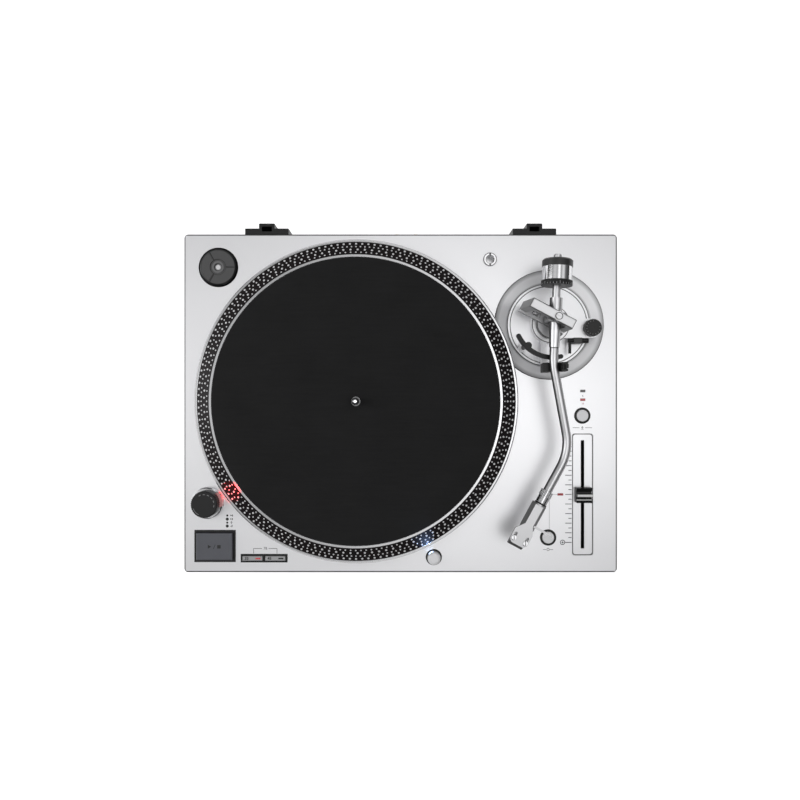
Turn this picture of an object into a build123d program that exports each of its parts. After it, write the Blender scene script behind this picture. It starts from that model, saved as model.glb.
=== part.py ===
from build123d import *

import os
from math import atan2, cos, degrees, radians, sin

# Direct-drive turntable record player, in millimetres.
# Plan positions (x, y) are measured from the middle of the plinth: +x right, +y to the rear.
# Heights are measured up from the deck, which is the plinth's top face.
# The frame's origin is on the table, under the middle of the whole object.

# Fits
FIT = 0.15
SLIDE = 0.4
RUNNING = 0.05

# Grip flutes round a rim: how far outside the rim their middles lie, and their radius
FOOT_FLUTE = (0.4, 1.0)
KNOB_FLUTE = (0.3, 0.6)
FINE_FLUTE = (0.25, 0.5)

# Plinth, tray and feet
PLINTH_WIDTH = 452.0
PLINTH_DEPTH = 353.0
PLINTH_CORNER = 4.0
PLINTH_WALL = 3.0
DECK_Z = 82.0
DECK_THICK = 3.5
DECK_EDGE = 1.6
SHELL_BOTTOM = 38.0
TRAY_BOTTOM = 22.0
TRAY_FLOOR = 3.0
TRAY_WALL = 3.0
TRAY_LIP = 8.0
TRAY_EDGE = 1.5
POST_R = 4.5
PILOT_R = 1.7
PILOT_DEPTH = 14.0
SCREW_R = 1.6
SCREW_HEAD_R = 3.4
SCREW_HEAD = 1.8
SCREW_LENGTH = 13.0
POST_X = PLINTH_WIDTH / 2 - 14.0
POST_Y = PLINTH_DEPTH / 2 - 13.5
POSTS = [(-POST_X, POST_Y), (0, POST_Y), (POST_X, POST_Y), (-150, -145), (75, -160), (POST_X, -POST_Y)]
FOOT_X = PLINTH_WIDTH / 2 - 46.0
FOOT_Y = PLINTH_DEPTH / 2 - 41.5
FOOT_R = 24.0
FOOT_PAD = 6.0
FOOT_PAD_STEP = 2.0
FOOT_STUD_R = 5.0
FOOT_STUD = 13.0
FOOT_BOSS_R = 9.0
FOOT_BOSS = 12.0
FOOT_GAP = 0.4
FOOT_GRIPS = 36

# Lid hinge sockets on the rear wall
HINGE_X = 140.0
HINGE_PLATE = (45.5, 6.4)
HINGE_BLOCK = (16.4, 11.8)
HINGE_SLOT = (10.4, 5.2)
HINGE_SLOT_DEPTH = 30.0
HINGE_TOP = -2.0
HINGE_HEIGHT = 40.0
HINGE_EDGE = 0.6
PLINTH_Y = -HINGE_BLOCK[1] / 2

# Rear connector panel
PANEL_X = -20.0
PANEL_Z = (SHELL_BOTTOM + TRAY_LIP + DECK_Z - DECK_THICK) / 2
PANEL_OPENING = (150.0, 24.0)
PANEL_LAP = 4.0
PANEL_THICK = 2.0
PANEL_RECESS = 2.6
GROUND_X = 40.0
RCA_X = (16.0, -4.0)
GAIN_X = -26.0
USB_X = -50.0
DC_X = -80.0
RCA_R = 4.15
RCA_FLANGE_R = 6.5
RCA_LENGTH = 9.0
RCA_PIN_R = 1.6
JACK_STUB_R = 4.0
JACK_STUB = 3.2
GROUND_R = 1.9
GROUND_LENGTH = 9.2
GROUND_BASE_R = 5.0
NUT_R = 4.6
NUT_LENGTH = 6.0
NUT_GRIPS = 20
USB_SIZE = (12.0, 10.9)
USB_WALL = 1.4
USB_TONGUE = (5.6, 3.2)
USB_OUT = 1.2
USB_DEEP = 12.0
DC_R = 5.5
DC_BORE_R = 3.2
DC_PIN_R = 1.0
DC_OUT = 2.0
SWITCH_SIZE = (4.0, 5.0)
SWITCH_TRAVEL = 3.0
SWITCH_OUT = 2.5
SWITCH_IN = 1.0

# Platter and motor
SPINDLE_X = -45.5
SPINDLE_Y = 2.15
PLATTER_R = 166.0
PLATTER_FLOAT = 4.0
RIM_EDGE = 15.0
RIM_BEVEL = 1.2
RIM_LEDGE = 2.7
RIM_THICK = 10.0
CONE_RUN = 14.4
LIP_WIDTH = 2.1
CONE_OUTER_R = PLATTER_R - RIM_LEDGE
CONE_INNER_R = CONE_OUTER_R - CONE_RUN
LIP_R = CONE_INNER_R - LIP_WIDTH
PLATTER_TOP = 22.0
MAT_BED = 21.0
WEB_UNDER = 17.0
RIM_INNER_R = PLATTER_R - RIM_THICK
RIM_FILL = (6.0, 2.0)
RIB_INNER_R = 60.0
RIB_THICK = 3.0
RIB_DEPTH = 6.0
RIBS = 12
FINGER_HOLE_R = 12.0
FINGER_HOLE_AT = 105.0
MAT_R = LIP_R - SLIDE
MAT_THICK = 2.5
MAT_HOLE_CLEAR = 1.2
SPINDLE_R = 3.6
SPINDLE_TOP = 36.0
SPINDLE_ROUND = 2.5
SHAFT_R = 4.0
HUB_R = 6.9
HUB_FLANGE_R = 16.0
HUB_FLANGE = 3.6
MOTOR_OPENING_R = 58.0
MOTOR_FLANGE_R = 66.0
MOTOR_FLANGE = 4.0
SLEEVE_R = SHAFT_R + 4.0
HOUSING_R = SLEEVE_R + 4.0
HOUSING_DEPTH = 24.0
HOUSING_FLOOR = 3.0
SLEEVE_TOP = 12.5
CORE_LOW = 7.0
CORE_THICK = 6.0
CORE_BORE_R = SLEEVE_R + 6.0
MOTOR_SHOULDER_R = CORE_BORE_R + 4.0
CORE_RING_R = MOTOR_SHOULDER_R + 4.0
TOOTH_R = 41.0
TOOTH_ROOT = 1.0
TOOTH_WIDTH = 5.0
TOOTH_TIP = (2.5, 14.0)
TEETH = 12
COIL_BUILD = 2.2
COIL_INNER_R = 25.0
COIL_OUTER_R = 38.0
MAGNET_INNER_R = 44.0
MAGNET_OUTER_R = 54.0
MAGNET_LOW = 8.0

# 45 rpm adapter in its well
ADAPTER_X = -190.1
ADAPTER_Y = 141.8
ADAPTER_R = 19.05
ADAPTER_THICK = 13.0
ADAPTER_EDGE = 1.4
ADAPTER_HUB_R = 8.2
ADAPTER_HUB_STEP = 0.7
ADAPTER_HUB_RING = 2.0
ADAPTER_GROOVE = (8.0, 2.0)
ADAPTER_GROOVE_AT = 13.2
WELL_R = ADAPTER_R + 1.65
WELL_DEPTH = 10.5
WELL_WALL = 2.5
WELL_POST_R = SPINDLE_R - SLIDE
WELL_POST_TOP = 1.0

# Strobe pod with the power knob
POD_X = -200.2
POD_Y = -103.1
POD_R = 16.3
POD_HEIGHT = 8.5
POD_STEM_R = 8.0
POD_STEM = 9.0
POD_BORE_R = 3.05
LENS_TURN = 16.0
LENS_WIDTH = 15.0
LENS_INNER_R = 10.5
LENS_LOW = 1.2
KNOB_R = 13.7
KNOB_TOP = 19.0
KNOB_EDGE = 1.2
KNOB_STEP = 0.4
KNOB_ROUND = 0.7
KNOB_GRIPS = 40

# Push buttons
START_AT = (-193.6, -148.8)
START_BUTTON = (37.8, 28.3)
START_RIM = SLIDE + 2.1
START_BEZEL = (START_BUTTON[0] + 2 * START_RIM, START_BUTTON[1] + 2 * START_RIM)
START_TOP = 4.0
START_TRAVEL = 2.0
SPEED_AT = (-142.4, -161.5)
SPEED_BUTTON = (20.8, 4.6)
SPEED_PITCH = SPEED_BUTTON[0] + 3.0
SPEED_RIM = SLIDE + 1.6
SPEED_BEZEL = (SPEED_PITCH + SPEED_BUTTON[0] + 2 * SPEED_RIM, SPEED_BUTTON[1] + 2 * SPEED_RIM)
SPEED_EDGE = 0.5
SPEED_TOP = 1.8
TEMPO_AT = (189.5, -12.8)
QUARTZ_AT = (153.8, -139.9)
ROUND_BUTTON_R = 6.1
ROUND_BEZEL_R = ROUND_BUTTON_R + SLIDE + 1.9
ROUND_EDGE = 0.6
ROUND_TOP = 1.6
BEZEL_TOP = 0.7
BEZEL_FLOOR = 1.5
BUTTON_SKIRT = 5.0
PRESS_SPARE = 0.5
BEZEL_DEPTH = BUTTON_SKIRT + START_TRAVEL + PRESS_SPARE + BEZEL_FLOOR
LED_AT = [(190.0, 12.9), (190.0, 3.8)]
LED_SIZE = (5.2, 2.4)
LED_TOP = 0.2
LED_DEPTH = 5.0

# Pop-up target lamp
LAMP_AT = (34.6, -160.4)
LAMP_R = 6.8
LAMP_RING_R = LAMP_R + SLIDE + 1.1
LAMP_ROUND = 3.0
LAMP_UP = 9.0
LAMP_DEPTH = 16.0
LAMP_TRAVEL = 8.0
LAMP_CUP = LAMP_DEPTH + LAMP_TRAVEL + PRESS_SPARE + BEZEL_FLOOR
LAMP_TURN = 120.0
LAMP_WINDOW = (5.0, 3.4)
LAMP_WINDOW_DEEP = 2.0
LAMP_WINDOW_AT = 4.0

# Pitch fader
FADER_AT = (189.8, -95.0)
FADER_TRAVEL = 50.0
FADER_STEM = (2.6, 9.0)
FADER_SLOT = (FADER_STEM[0] + 1.0, FADER_STEM[1] + 2 * FADER_TRAVEL + 4.0)
FADER_PANEL = (FADER_SLOT[0] + 18.2, FADER_SLOT[1] + 14.0)
FADER_CORNER = 2.6
FADER_POCKET = 1.8
FADER_PLATE = 1.4
FADER_UNIT = (FADER_SLOT[0] + 9.4, FADER_SLOT[1] + 13.0)
FADER_UNIT_DEEP = 11.0
FADER_FLOOR = 2.0
FADER_STEM_END = -9.0
FADER_KNOB = (16.2, 15.4)
FADER_KNOB_GAP = 0.5
FADER_KNOB_TOP = 10.5
FADER_KNOB_EDGE = 5.2
FADER_KNOB_DIP = 4.0
FADER_DIP_HALF = 3.1
FADER_RIDGE_HALF = (1.7, 1.3)

# Store for a spare headshell
STORE_AT = (93.2, 150.1)
STORE_BORE_R = 4.1
STORE_R = STORE_BORE_R + 1.5
STORE_FLANGE_R = STORE_R + 1.4
STORE_FLANGE = 1.5
STORE_BORE = 13.0
STORE_LENGTH = 17.0
STORE_NOTCH = (1.8, 2.4)

# Tonearm base
BASE_AT = (154.6, 81.8)
RING_R = 57.1
RING_SEAT_R = RING_R - 3.5
RING_LIP = 1.5
RING_DROP = -2.0
RING_UNDER = -6.0
PLATE_R = 43.1
RING_INNER_R = PLATE_R + 2 * FIT
PLATE_TOP = -1.5
PLATE_FLANGE_R = 50.0
PLATE_FLANGE = 3.0
GROOVE_R = 39.7
GROOVE_WIDTH = 0.9
GROOVE_DEEP = 0.7
PILLAR_LOW_R = 19.5
PILLAR_STEP = 10.0
PILLAR_R = 15.6
WING_Y = 77.5
WING_WIDTH = 20.0
WING_LOW = 3.0
WING_TOP = 9.0
WING_RIB = (36.0, 14.0)
SKATE_X = 196.6
SKATE_R = 8.8
SKATE_TOP = 17.0
SKATE_GAP = 0.3
SKATE_STEM_R = 3.0
SKATE_STEM = 5.0
SKATE_GRIPS = 32

# Arm, in its own plan: x across, y towards the rear, from the pivot
ARM_TURN = -2.3
TUBE_R = 4.4
TUBE_START = -20.0
TUBE_BENDS = [(0.0, -45.7), (18.85, -129.7)]
TUBE_BEND_R = [80.0, 50.0]
TUBE_END = (-1.03, -170.1)
TUBE_IN_COLLAR = 8.5
ARM_SLEEVE_R = TUBE_R + 1.4
ARM_SLEEVE_NOSE_R = TUBE_R + 0.5
ARM_SLEEVE_TAPER = -12.0
ARM_SLEEVE_FRONT = -29.0
ARM_COLLAR_R = ARM_SLEEVE_R + 0.35
ARM_COLLAR = (8.4, 19.6)
REAR_SHAFT_R = 3.95
REAR_SHAFT_END = 63.0
REAR_SHAFT_DOME = 1.4
REAR_SHAFT_NOSE = (3.0, 0.4)
AXLE_R = 1.3
AXLE_SHORT = 0.3
DIAL_R = 15.2
DIAL_FRONT = 31.4
DIAL_LENGTH = 4.9
DIAL_GRIPS = 48
WEIGHT_HUB_R = 9.0
WEIGHT_R = 14.5
WEIGHT_LENGTH = 13.2
WEIGHT_CAP_R = 15.0
WEIGHT_CAP = 7.6
WEIGHT_EDGE = 1.5
WEIGHT_GAP = 0.3
COLLAR_R = TUBE_R + 1.8
COLLAR_STEP = 0.5
COLLAR_LENGTH = 13.0
COLLAR_GRIP = 6.0
COLLAR_GRIPS = 24
PLUG_R = TUBE_R - SLIDE
SHELL_GAP = 0.2
SHELL_WASHER = 1.6
SHELL_LENGTH = 47.4
SHELL_THICK = 2.5
SHELL_UNDER = -1.0
SHELL_BOSS_R = 5.2
SHELL_BOSS = 3.0
SHELL_NECK = 15.2
SHELL_NECK_TOP = 8.2
SHELL_NECK_LOW = -3.0
SHELL_NECK_END = 24.5
SHELL_SKIRT_END = 29.0
SHELL_HEAD = 18.8
SHELL_HEAD_SHIFT = -1.2
SHELL_HEAD_START = 33.0
SHELL_CORNER = 3.0
SHELL_SLOT = (9.4, 2.9)
SHELL_SLOT_AT = 40.8
CART_SCREWS = 12.7
LIFT_AT = 24.0
LIFT_ROOT = 3.0
LIFT_LENGTH = 21.0
LIFT_WIDTH = 2.2
LIFT_THICK = 1.2
CART_SCREW_AT = 42.2
CART_WIDTH = 15.4
CART_REAR = 34.0
CART_FRONT = 50.6
CART_SLOPE = 5.0
CART_PIN_R = 0.6
CART_PIN = 5.0
CART_SCREW_R = 1.25
CART_SCREW_HEAD_R = 2.3
CART_SCREW_HEAD = 1.4
CART_SCREW_TURN = 30.0
STYLUS_WIDTH = 9.0
STYLUS_BLOCK = (36.0, 49.0)
STYLUS_HIGH = 4.0
STYLUS_TIP_AT = 47.5
STYLUS_TIP_R = 1.0
STYLUS_TIP = 3.6
STYLUS_TIP_TAPER = 12.0
STYLUS_CLEAR = 3.5

# Gimbal
PIVOT_X = 151.9
PIVOT_Y = 84.1
ARM_HEIGHT = 44.0
FRAME_TURN = -28.0
FRAME_BOTTOM = 17.0
FRAME_BAR = 7.0
FRAME_TOP = ARM_HEIGHT + 16.0
FRAME_WIDTH = 9.6
FRAME_LEFT_LOW = -33.0
FRAME_LEFT_HIGH = -29.3
FRAME_LEFT_LEG = 7.0
FRAME_RIGHT = 17.5
FRAME_RIGHT_LEG = 5.9
FRAME_EDGE = 1.2
FRAME_FOOT = 1.8
FRAME_SLOT = (11.0, 4.4)
FRAME_SLOT_AT = (-17.0, -1.4)
FRAME_SLOT_DEEP = 3.0
SCREW_BUSH_R = 4.0
SCREW_NUT_R = 4.6
SCREW_NUT = 0.8
SCREW_TIP_R = 2.9
SCREW_TIP = 0.9
SCREW_SLOT = (6.4, 0.8)
PIN_TOP_R = 1.5
PIN_TOP = 4.0
PIN_LOW_R = 2.5
PIN_LOW = 3.8
CARRIER_WINDOW = (2 * ARM_SLEEVE_R + 1.0, 2 * ARM_SLEEVE_R + 3.0)
CARRIER = (CARRIER_WINDOW[0] + 4.6, 9.0)
CARRIER_LOW = ARM_HEIGHT - CARRIER_WINDOW[1] / 2 - 3.7
CARRIER_GAP = 0.5
CARRIER_STEM_R = 5.0
CARRIER_CORNER = 2.0

# Cueing lift
LIFT_ARC_R = 38.0
LIFT_ARC_FROM = 206.0
LIFT_ARC_SPAN = 76.0
LIFT_ARC_WIDTH = 4.5
LIFT_ARC_THICK = 4.0
LIFT_RISE = 5.0
LIFT_CLEAR = 0.8
LIFT_POST_TURN = 226.8
LIFT_POST_IN = 2.0
LIFT_POST_R = 2.5
LIFT_POST_END = -7.5
LIFT_NUB_R = 3.6
LIFT_BOSS_R = 5.0
LIFT_BOSS_TOP = 6.0
CUE_Y = 64.6
CUE_HEIGHT = 10.0
CUE_R = 2.0
CUE_LEFT = 172.0
CUE_RIGHT = 193.0
CUE_BARREL_R = 2.6
CUE_LUG = (178.0, 186.0)
CUE_LUG_HALF = 3.0
CUE_LUG_TOP = 13.0
CUE_HANDLE_R = 1.5
CUE_HANDLE = 13.2

# Arm rest
REST_BAR_X = 147.5
REST_BAR_WIDTH = 5.6
REST_BAR_LOW = 4.5
REST_BAR_TOP = 9.5
REST_BAR_REAR = 68.0
REST_Y = 36.0
REST_DEPTH = 9.0
REST_POST = 7.0
REST_LEFT = 141.0
REST_TUBE_X = 152.1
REST_CHEEK = REST_TUBE_X + TUBE_R
REST_RIGHT = REST_CHEEK + 6.0
REST_SHELF = 4.0
REST_CLEAR = 1.1
REST_EAR = 2.2
CLIP_R = 2.2
CLIP_X = REST_CHEEK + 3.0
CLIP_HEIGHT = ARM_HEIGHT + TUBE_R + 2.0
CLIP_LENGTH = 12.5
CLIP_PIN_R = 1.0
CLIP_GAP = 0.3

# Circuit boards on the tray floor: middle x, middle y, width, depth
BOARDS = [(-95, -112, 90, 54), (70, 118, 80, 56)]
BOARD_THICK = 1.6
BOARD_STAND = 4.0
BOARD_STAND_R = 3.0
BOARD_INSET = 6.0

REAR = PLINTH_DEPTH / 2


def deck(x, y, height=0.0, turn=0.0):
    """Level plane at a plan position and a height over the deck, turned by degrees about +Z."""
    way = (cos(radians(turn)), sin(radians(turn)), 0)
    return Plane(origin=(x, PLINTH_Y + y, DECK_Z + height), x_dir=way, z_dir=(0, 0, 1))


def table(z):
    """Level plane at a height over the table, centred on the plinth."""
    return Plane(origin=(0, PLINTH_Y, z))


def upright(x, y, turn=0.0):
    """Vertical plane through a plan position: distance out along x, height over the deck along y."""
    angle = radians(turn)
    out = (cos(angle), sin(angle), 0)
    return Plane(origin=(x, PLINTH_Y + y, DECK_Z), x_dir=out, z_dir=(sin(angle), -cos(angle), 0))


def across(x, y, height):
    """Vertical plane that faces +x, with y of the plan along its x and height along its y."""
    return Plane(origin=(x, PLINTH_Y + y, DECK_Z + height), x_dir=(0, 1, 0), z_dir=(1, 0, 0))


def rearward(x, z, y=REAR):
    """Vertical plane that faces the rear, at a height over the table."""
    return Plane(origin=(x, PLINTH_Y + y, z), x_dir=(-1, 0, 0), z_dir=(0, 1, 0))


def axis_at(x, y):
    """Vertical axis at a plan position."""
    return Axis((x, PLINTH_Y + y, DECK_Z), (0, 0, 1))


arm = deck(PIVOT_X, PIVOT_Y, ARM_HEIGHT, ARM_TURN)
arm_back = Plane(origin=arm.origin, x_dir=arm.x_dir, z_dir=arm.y_dir)
arm_axis = Axis(arm.origin, arm.y_dir)
head_run = (TUBE_END[0] - TUBE_BENDS[1][0], TUBE_END[1] - TUBE_BENDS[1][1])
head_turn = degrees(atan2(head_run[1], head_run[0]))
head_way = (cos(radians(head_turn)), sin(radians(head_turn)))
tube_tip = (TUBE_END[0] + TUBE_IN_COLLAR * head_way[0], TUBE_END[1] + TUBE_IN_COLLAR * head_way[1])
collar_root = arm.from_local_coords((TUBE_END[0], TUBE_END[1], 0))
head_ahead_dir = Vector(1, 0, 0).rotate(Axis.Z, head_turn + ARM_TURN)
head = Plane(origin=collar_root, x_dir=head_ahead_dir, z_dir=(0, 0, 1))
head_ahead = Plane(origin=collar_root, x_dir=head.y_dir, z_dir=head.x_dir)
head_middle = head.from_local_coords((0, SHELL_HEAD_SHIFT, 0))
head_side = Plane(origin=head_middle, x_dir=head.x_dir, z_dir=-head.y_dir)
shell_start = COLLAR_LENGTH + SHELL_GAP
frame_side = upright(PIVOT_X, PIVOT_Y, FRAME_TURN)
lift_top = ARM_HEIGHT - TUBE_R - LIFT_CLEAR - LIFT_RISE
lift_low = lift_top - LIFT_ARC_THICK
lift_angle = radians(LIFT_POST_TURN)
lift_reach = LIFT_ARC_R - LIFT_POST_IN
lift_post_at = (PIVOT_X + lift_reach * cos(lift_angle), PIVOT_Y + lift_reach * sin(lift_angle))
rest_top = ARM_HEIGHT - TUBE_R - REST_CLEAR
frame_inner_low = FRAME_BOTTOM + FRAME_BAR
frame_inner_high = FRAME_TOP - FRAME_BAR
tray_width = PLINTH_WIDTH - 2 * (PLINTH_WALL + FIT)
tray_depth = PLINTH_DEPTH - 2 * (PLINTH_WALL + FIT)
tray_top = SHELL_BOTTOM + TRAY_LIP
floor_top = TRAY_BOTTOM + TRAY_FLOOR
post_length = DECK_Z - DECK_THICK - floor_top
mat_top = MAT_BED + MAT_THICK
cart_low = mat_top + STYLUS_CLEAR + STYLUS_TIP - ARM_HEIGHT
weight_front = DIAL_FRONT + DIAL_LENGTH + WEIGHT_GAP
feet_at = [(x, y) for y in (-FOOT_Y, FOOT_Y) for x in (-FOOT_X, FOOT_X)]
speed_buttons_at = [(SPEED_AT[0] + i * SPEED_PITCH / 2, SPEED_AT[1]) for i in (-1, 1)]
board_stands = [
    (x + i * (w / 2 - BOARD_INSET), y + j * (d / 2 - BOARD_INSET))
    for x, y, w, d in BOARDS
    for i in (-1, 1)
    for j in (-1, 1)
]

# Plinth shell: an open-bottomed box with the deck's openings, screw posts and the adapter's cup
with BuildPart() as plinth_shell:
    with BuildSketch(table(SHELL_BOTTOM)):
        RectangleRounded(PLINTH_WIDTH, PLINTH_DEPTH, PLINTH_CORNER)
    extrude(amount=DECK_Z - SHELL_BOTTOM)
    fillet(plinth_shell.faces().sort_by(Axis.Z)[-1].edges(), DECK_EDGE)
    with BuildSketch(table(SHELL_BOTTOM)):
        inner_width = PLINTH_WIDTH - 2 * PLINTH_WALL
        inner_depth = PLINTH_DEPTH - 2 * PLINTH_WALL
        RectangleRounded(inner_width, inner_depth, PLINTH_CORNER / 2)
    extrude(amount=DECK_Z - SHELL_BOTTOM - DECK_THICK, mode=Mode.SUBTRACT)
    with BuildSketch(deck(0, 0, -DECK_THICK)):
        with Locations(*POSTS):
            Circle(POST_R)
    extrude(amount=-post_length)
    with BuildSketch(table(floor_top)):
        with Locations(*POSTS):
            Circle(PILOT_R)
    extrude(amount=PILOT_DEPTH, mode=Mode.SUBTRACT)
    with BuildSketch(deck(ADAPTER_X, ADAPTER_Y)):
        Circle(WELL_R + WELL_WALL)
    extrude(amount=-WELL_DEPTH - WELL_WALL)
    with BuildSketch(deck(ADAPTER_X, ADAPTER_Y)):
        Circle(WELL_R)
    extrude(amount=-WELL_DEPTH, mode=Mode.SUBTRACT)
    with BuildSketch(deck(ADAPTER_X, ADAPTER_Y, -WELL_DEPTH)):
        Circle(WELL_POST_R)
    extrude(amount=WELL_DEPTH + WELL_POST_TOP)
    with BuildSketch(deck(0, 0)):
        with Locations((SPINDLE_X, SPINDLE_Y)):
            Circle(MOTOR_OPENING_R)
        with Locations(BASE_AT):
            Circle(RING_SEAT_R + FIT)
        with Locations((POD_X, POD_Y)):
            Circle(POD_STEM_R + FIT)
        with Locations(STORE_AT):
            Circle(STORE_R + FIT)
        with Locations(TEMPO_AT, QUARTZ_AT):
            Circle(ROUND_BEZEL_R + FIT)
        with Locations(LAMP_AT):
            Circle(LAMP_RING_R + FIT)
        with Locations(*LED_AT):
            Rectangle(LED_SIZE[0] + 2 * FIT, LED_SIZE[1] + 2 * FIT)
        with Locations(START_AT):
            Rectangle(START_BEZEL[0] + 2 * FIT, START_BEZEL[1] + 2 * FIT)
        with Locations(SPEED_AT):
            Rectangle(SPEED_BEZEL[0] + 2 * FIT, SPEED_BEZEL[1] + 2 * FIT)
        with Locations(FADER_AT):
            Rectangle(FADER_SLOT[0] + 2 * SLIDE, FADER_SLOT[1] + 2 * SLIDE)
    extrude(amount=-DECK_THICK, mode=Mode.SUBTRACT)
    with BuildSketch(deck(*FADER_AT)):
        RectangleRounded(FADER_PANEL[0] + 2 * FIT, FADER_PANEL[1] + 2 * FIT, FADER_CORNER + FIT)
    extrude(amount=-FADER_POCKET, mode=Mode.SUBTRACT)
    with BuildSketch(rearward(PANEL_X, PANEL_Z)):
        Rectangle(*PANEL_OPENING)
    extrude(amount=-PLINTH_WALL, mode=Mode.SUBTRACT)

# Base tray: it rises into the shell, takes the feet and carries the circuit boards
with BuildPart() as base_tray:
    with BuildSketch(table(TRAY_BOTTOM)):
        RectangleRounded(tray_width, tray_depth, PLINTH_CORNER / 2)
    extrude(amount=tray_top - TRAY_BOTTOM)
    fillet(base_tray.faces().sort_by(Axis.Z)[0].edges(), TRAY_EDGE)
    with BuildSketch(table(floor_top)):
        Rectangle(tray_width - 2 * TRAY_WALL, tray_depth - 2 * TRAY_WALL)
    extrude(amount=tray_top - floor_top, mode=Mode.SUBTRACT)
    with BuildSketch(table(floor_top)):
        with Locations(*feet_at):
            Circle(FOOT_BOSS_R)
    extrude(amount=FOOT_BOSS)
    with BuildSketch(table(floor_top)):
        with Locations(*board_stands):
            Circle(BOARD_STAND_R)
    extrude(amount=BOARD_STAND)
    with BuildSketch(table(TRAY_BOTTOM)):
        with Locations(*feet_at):
            Circle(FOOT_STUD_R + RUNNING)
        with Locations(*POSTS):
            Circle(SCREW_R + SLIDE)
    extrude(amount=TRAY_FLOOR + FOOT_BOSS, mode=Mode.SUBTRACT)

with BuildPart() as tray_screws:
    with BuildSketch(table(TRAY_BOTTOM - SCREW_HEAD)):
        with Locations(*POSTS):
            Circle(SCREW_HEAD_R)
            RegularPolygon(SCREW_R, 6, mode=Mode.SUBTRACT)
    extrude(amount=SCREW_HEAD / 2)
    with BuildSketch(table(TRAY_BOTTOM - SCREW_HEAD / 2)):
        with Locations(*POSTS):
            Circle(SCREW_HEAD_R)
    extrude(amount=SCREW_HEAD / 2)
    with BuildSketch(table(TRAY_BOTTOM)):
        with Locations(*POSTS):
            Circle(SCREW_R)
    extrude(amount=SCREW_LENGTH)

with BuildPart() as circuit_boards:
    for board_x, board_y, board_width, board_depth in BOARDS:
        with BuildSketch(Plane(origin=(board_x, PLINTH_Y + board_y, floor_top + BOARD_STAND))):
            Rectangle(board_width, board_depth)
        extrude(amount=BOARD_THICK)

# Feet: grippy turning height adjusters with a threaded stud and a rubber pad
feet = {}
foot_names = ["foot_front_left", "foot_front_right", "foot_rear_left", "foot_rear_right"]
for foot_name, (foot_x, foot_y) in zip(foot_names, feet_at):
    with BuildPart() as foot:
        foot_top = TRAY_BOTTOM - FOOT_GAP
        with BuildSketch(Plane(origin=(foot_x, PLINTH_Y + foot_y, 0))):
            Circle(FOOT_R - FOOT_PAD_STEP)
        extrude(amount=FOOT_PAD)
        with BuildSketch(Plane(origin=(foot_x, PLINTH_Y + foot_y, FOOT_PAD))):
            Circle(FOOT_R)
            with PolarLocations(FOOT_R + FOOT_FLUTE[0], FOOT_GRIPS):
                Circle(FOOT_FLUTE[1], mode=Mode.SUBTRACT)
        extrude(amount=foot_top - FOOT_PAD)
        with BuildSketch(Plane(origin=(foot_x, PLINTH_Y + foot_y, foot_top))):
            Circle(FOOT_STUD_R)
        extrude(amount=FOOT_STUD)
    feet[foot_name] = foot

# Lid hinge sockets: a plate on the rear wall with an open-topped slot in a block
with BuildPart() as hinge_sockets:
    with BuildSketch(deck(0, REAR, HINGE_TOP)):
        with Locations((-HINGE_X, HINGE_PLATE[1] / 2), (HINGE_X, HINGE_PLATE[1] / 2)):
            Rectangle(*HINGE_PLATE)
        with Locations((-HINGE_X, HINGE_BLOCK[1] / 2), (HINGE_X, HINGE_BLOCK[1] / 2)):
            Rectangle(*HINGE_BLOCK)
    extrude(amount=-HINGE_HEIGHT)
    chamfer(hinge_sockets.faces().sort_by(Axis.Y)[-2:].edges(), HINGE_EDGE)
    with BuildSketch(deck(0, REAR, HINGE_TOP)):
        with Locations((-HINGE_X, HINGE_BLOCK[1] / 2), (HINGE_X, HINGE_BLOCK[1] / 2)):
            Rectangle(*HINGE_SLOT)
    extrude(amount=-HINGE_SLOT_DEPTH, mode=Mode.SUBTRACT)

# Rear connectors on a plate inside the rear wall
panel_face = REAR - PLINTH_WALL - PANEL_RECESS
switch_slot = SWITCH_SIZE[0] + SWITCH_TRAVEL + 2 * SLIDE
with BuildPart() as rear_panel:
    with BuildSketch(rearward(PANEL_X, PANEL_Z, panel_face + PANEL_RECESS)):
        Rectangle(PANEL_OPENING[0] + 2 * PANEL_LAP, PANEL_OPENING[1] + 2 * PANEL_LAP)
    extrude(amount=-PANEL_RECESS - PANEL_THICK)
    with BuildSketch(rearward(PANEL_X, PANEL_Z, panel_face)):
        Rectangle(*PANEL_OPENING)
    extrude(amount=PANEL_RECESS, mode=Mode.SUBTRACT)
    with BuildSketch(rearward(0, PANEL_Z, panel_face)):
        with Locations((-RCA_X[0], 0), (-RCA_X[1], 0), (-GROUND_X, 0), (-DC_X, 0)):
            Circle(JACK_STUB_R + FIT)
        with Locations((-USB_X, 0)):
            Rectangle(USB_SIZE[0] + 2 * FIT, USB_SIZE[1] + 2 * FIT)
        with Locations((-GAIN_X + SWITCH_TRAVEL / 2, 0)):
            Rectangle(switch_slot, SWITCH_SIZE[1] + 2 * SLIDE)
    extrude(amount=-PANEL_THICK, mode=Mode.SUBTRACT)

with BuildPart() as rca_jacks:
    with BuildSketch(rearward(0, PANEL_Z, panel_face)):
        with Locations((-RCA_X[0], 0), (-RCA_X[1], 0)):
            Circle(RCA_FLANGE_R)
    extrude(amount=SCREW_HEAD)
    with BuildSketch(rearward(0, PANEL_Z, panel_face)):
        with Locations((-RCA_X[0], 0), (-RCA_X[1], 0)):
            Circle(RCA_R)
    extrude(amount=RCA_LENGTH)
    with BuildSketch(rearward(0, PANEL_Z, panel_face)):
        with Locations((-RCA_X[0], 0), (-RCA_X[1], 0)):
            Circle(JACK_STUB_R)
    extrude(amount=-JACK_STUB)
    with BuildSketch(rearward(0, PANEL_Z, panel_face + RCA_LENGTH)):
        with Locations((-RCA_X[0], 0), (-RCA_X[1], 0)):
            Circle(RCA_PIN_R)
    extrude(amount=-RCA_LENGTH, mode=Mode.SUBTRACT)

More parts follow.
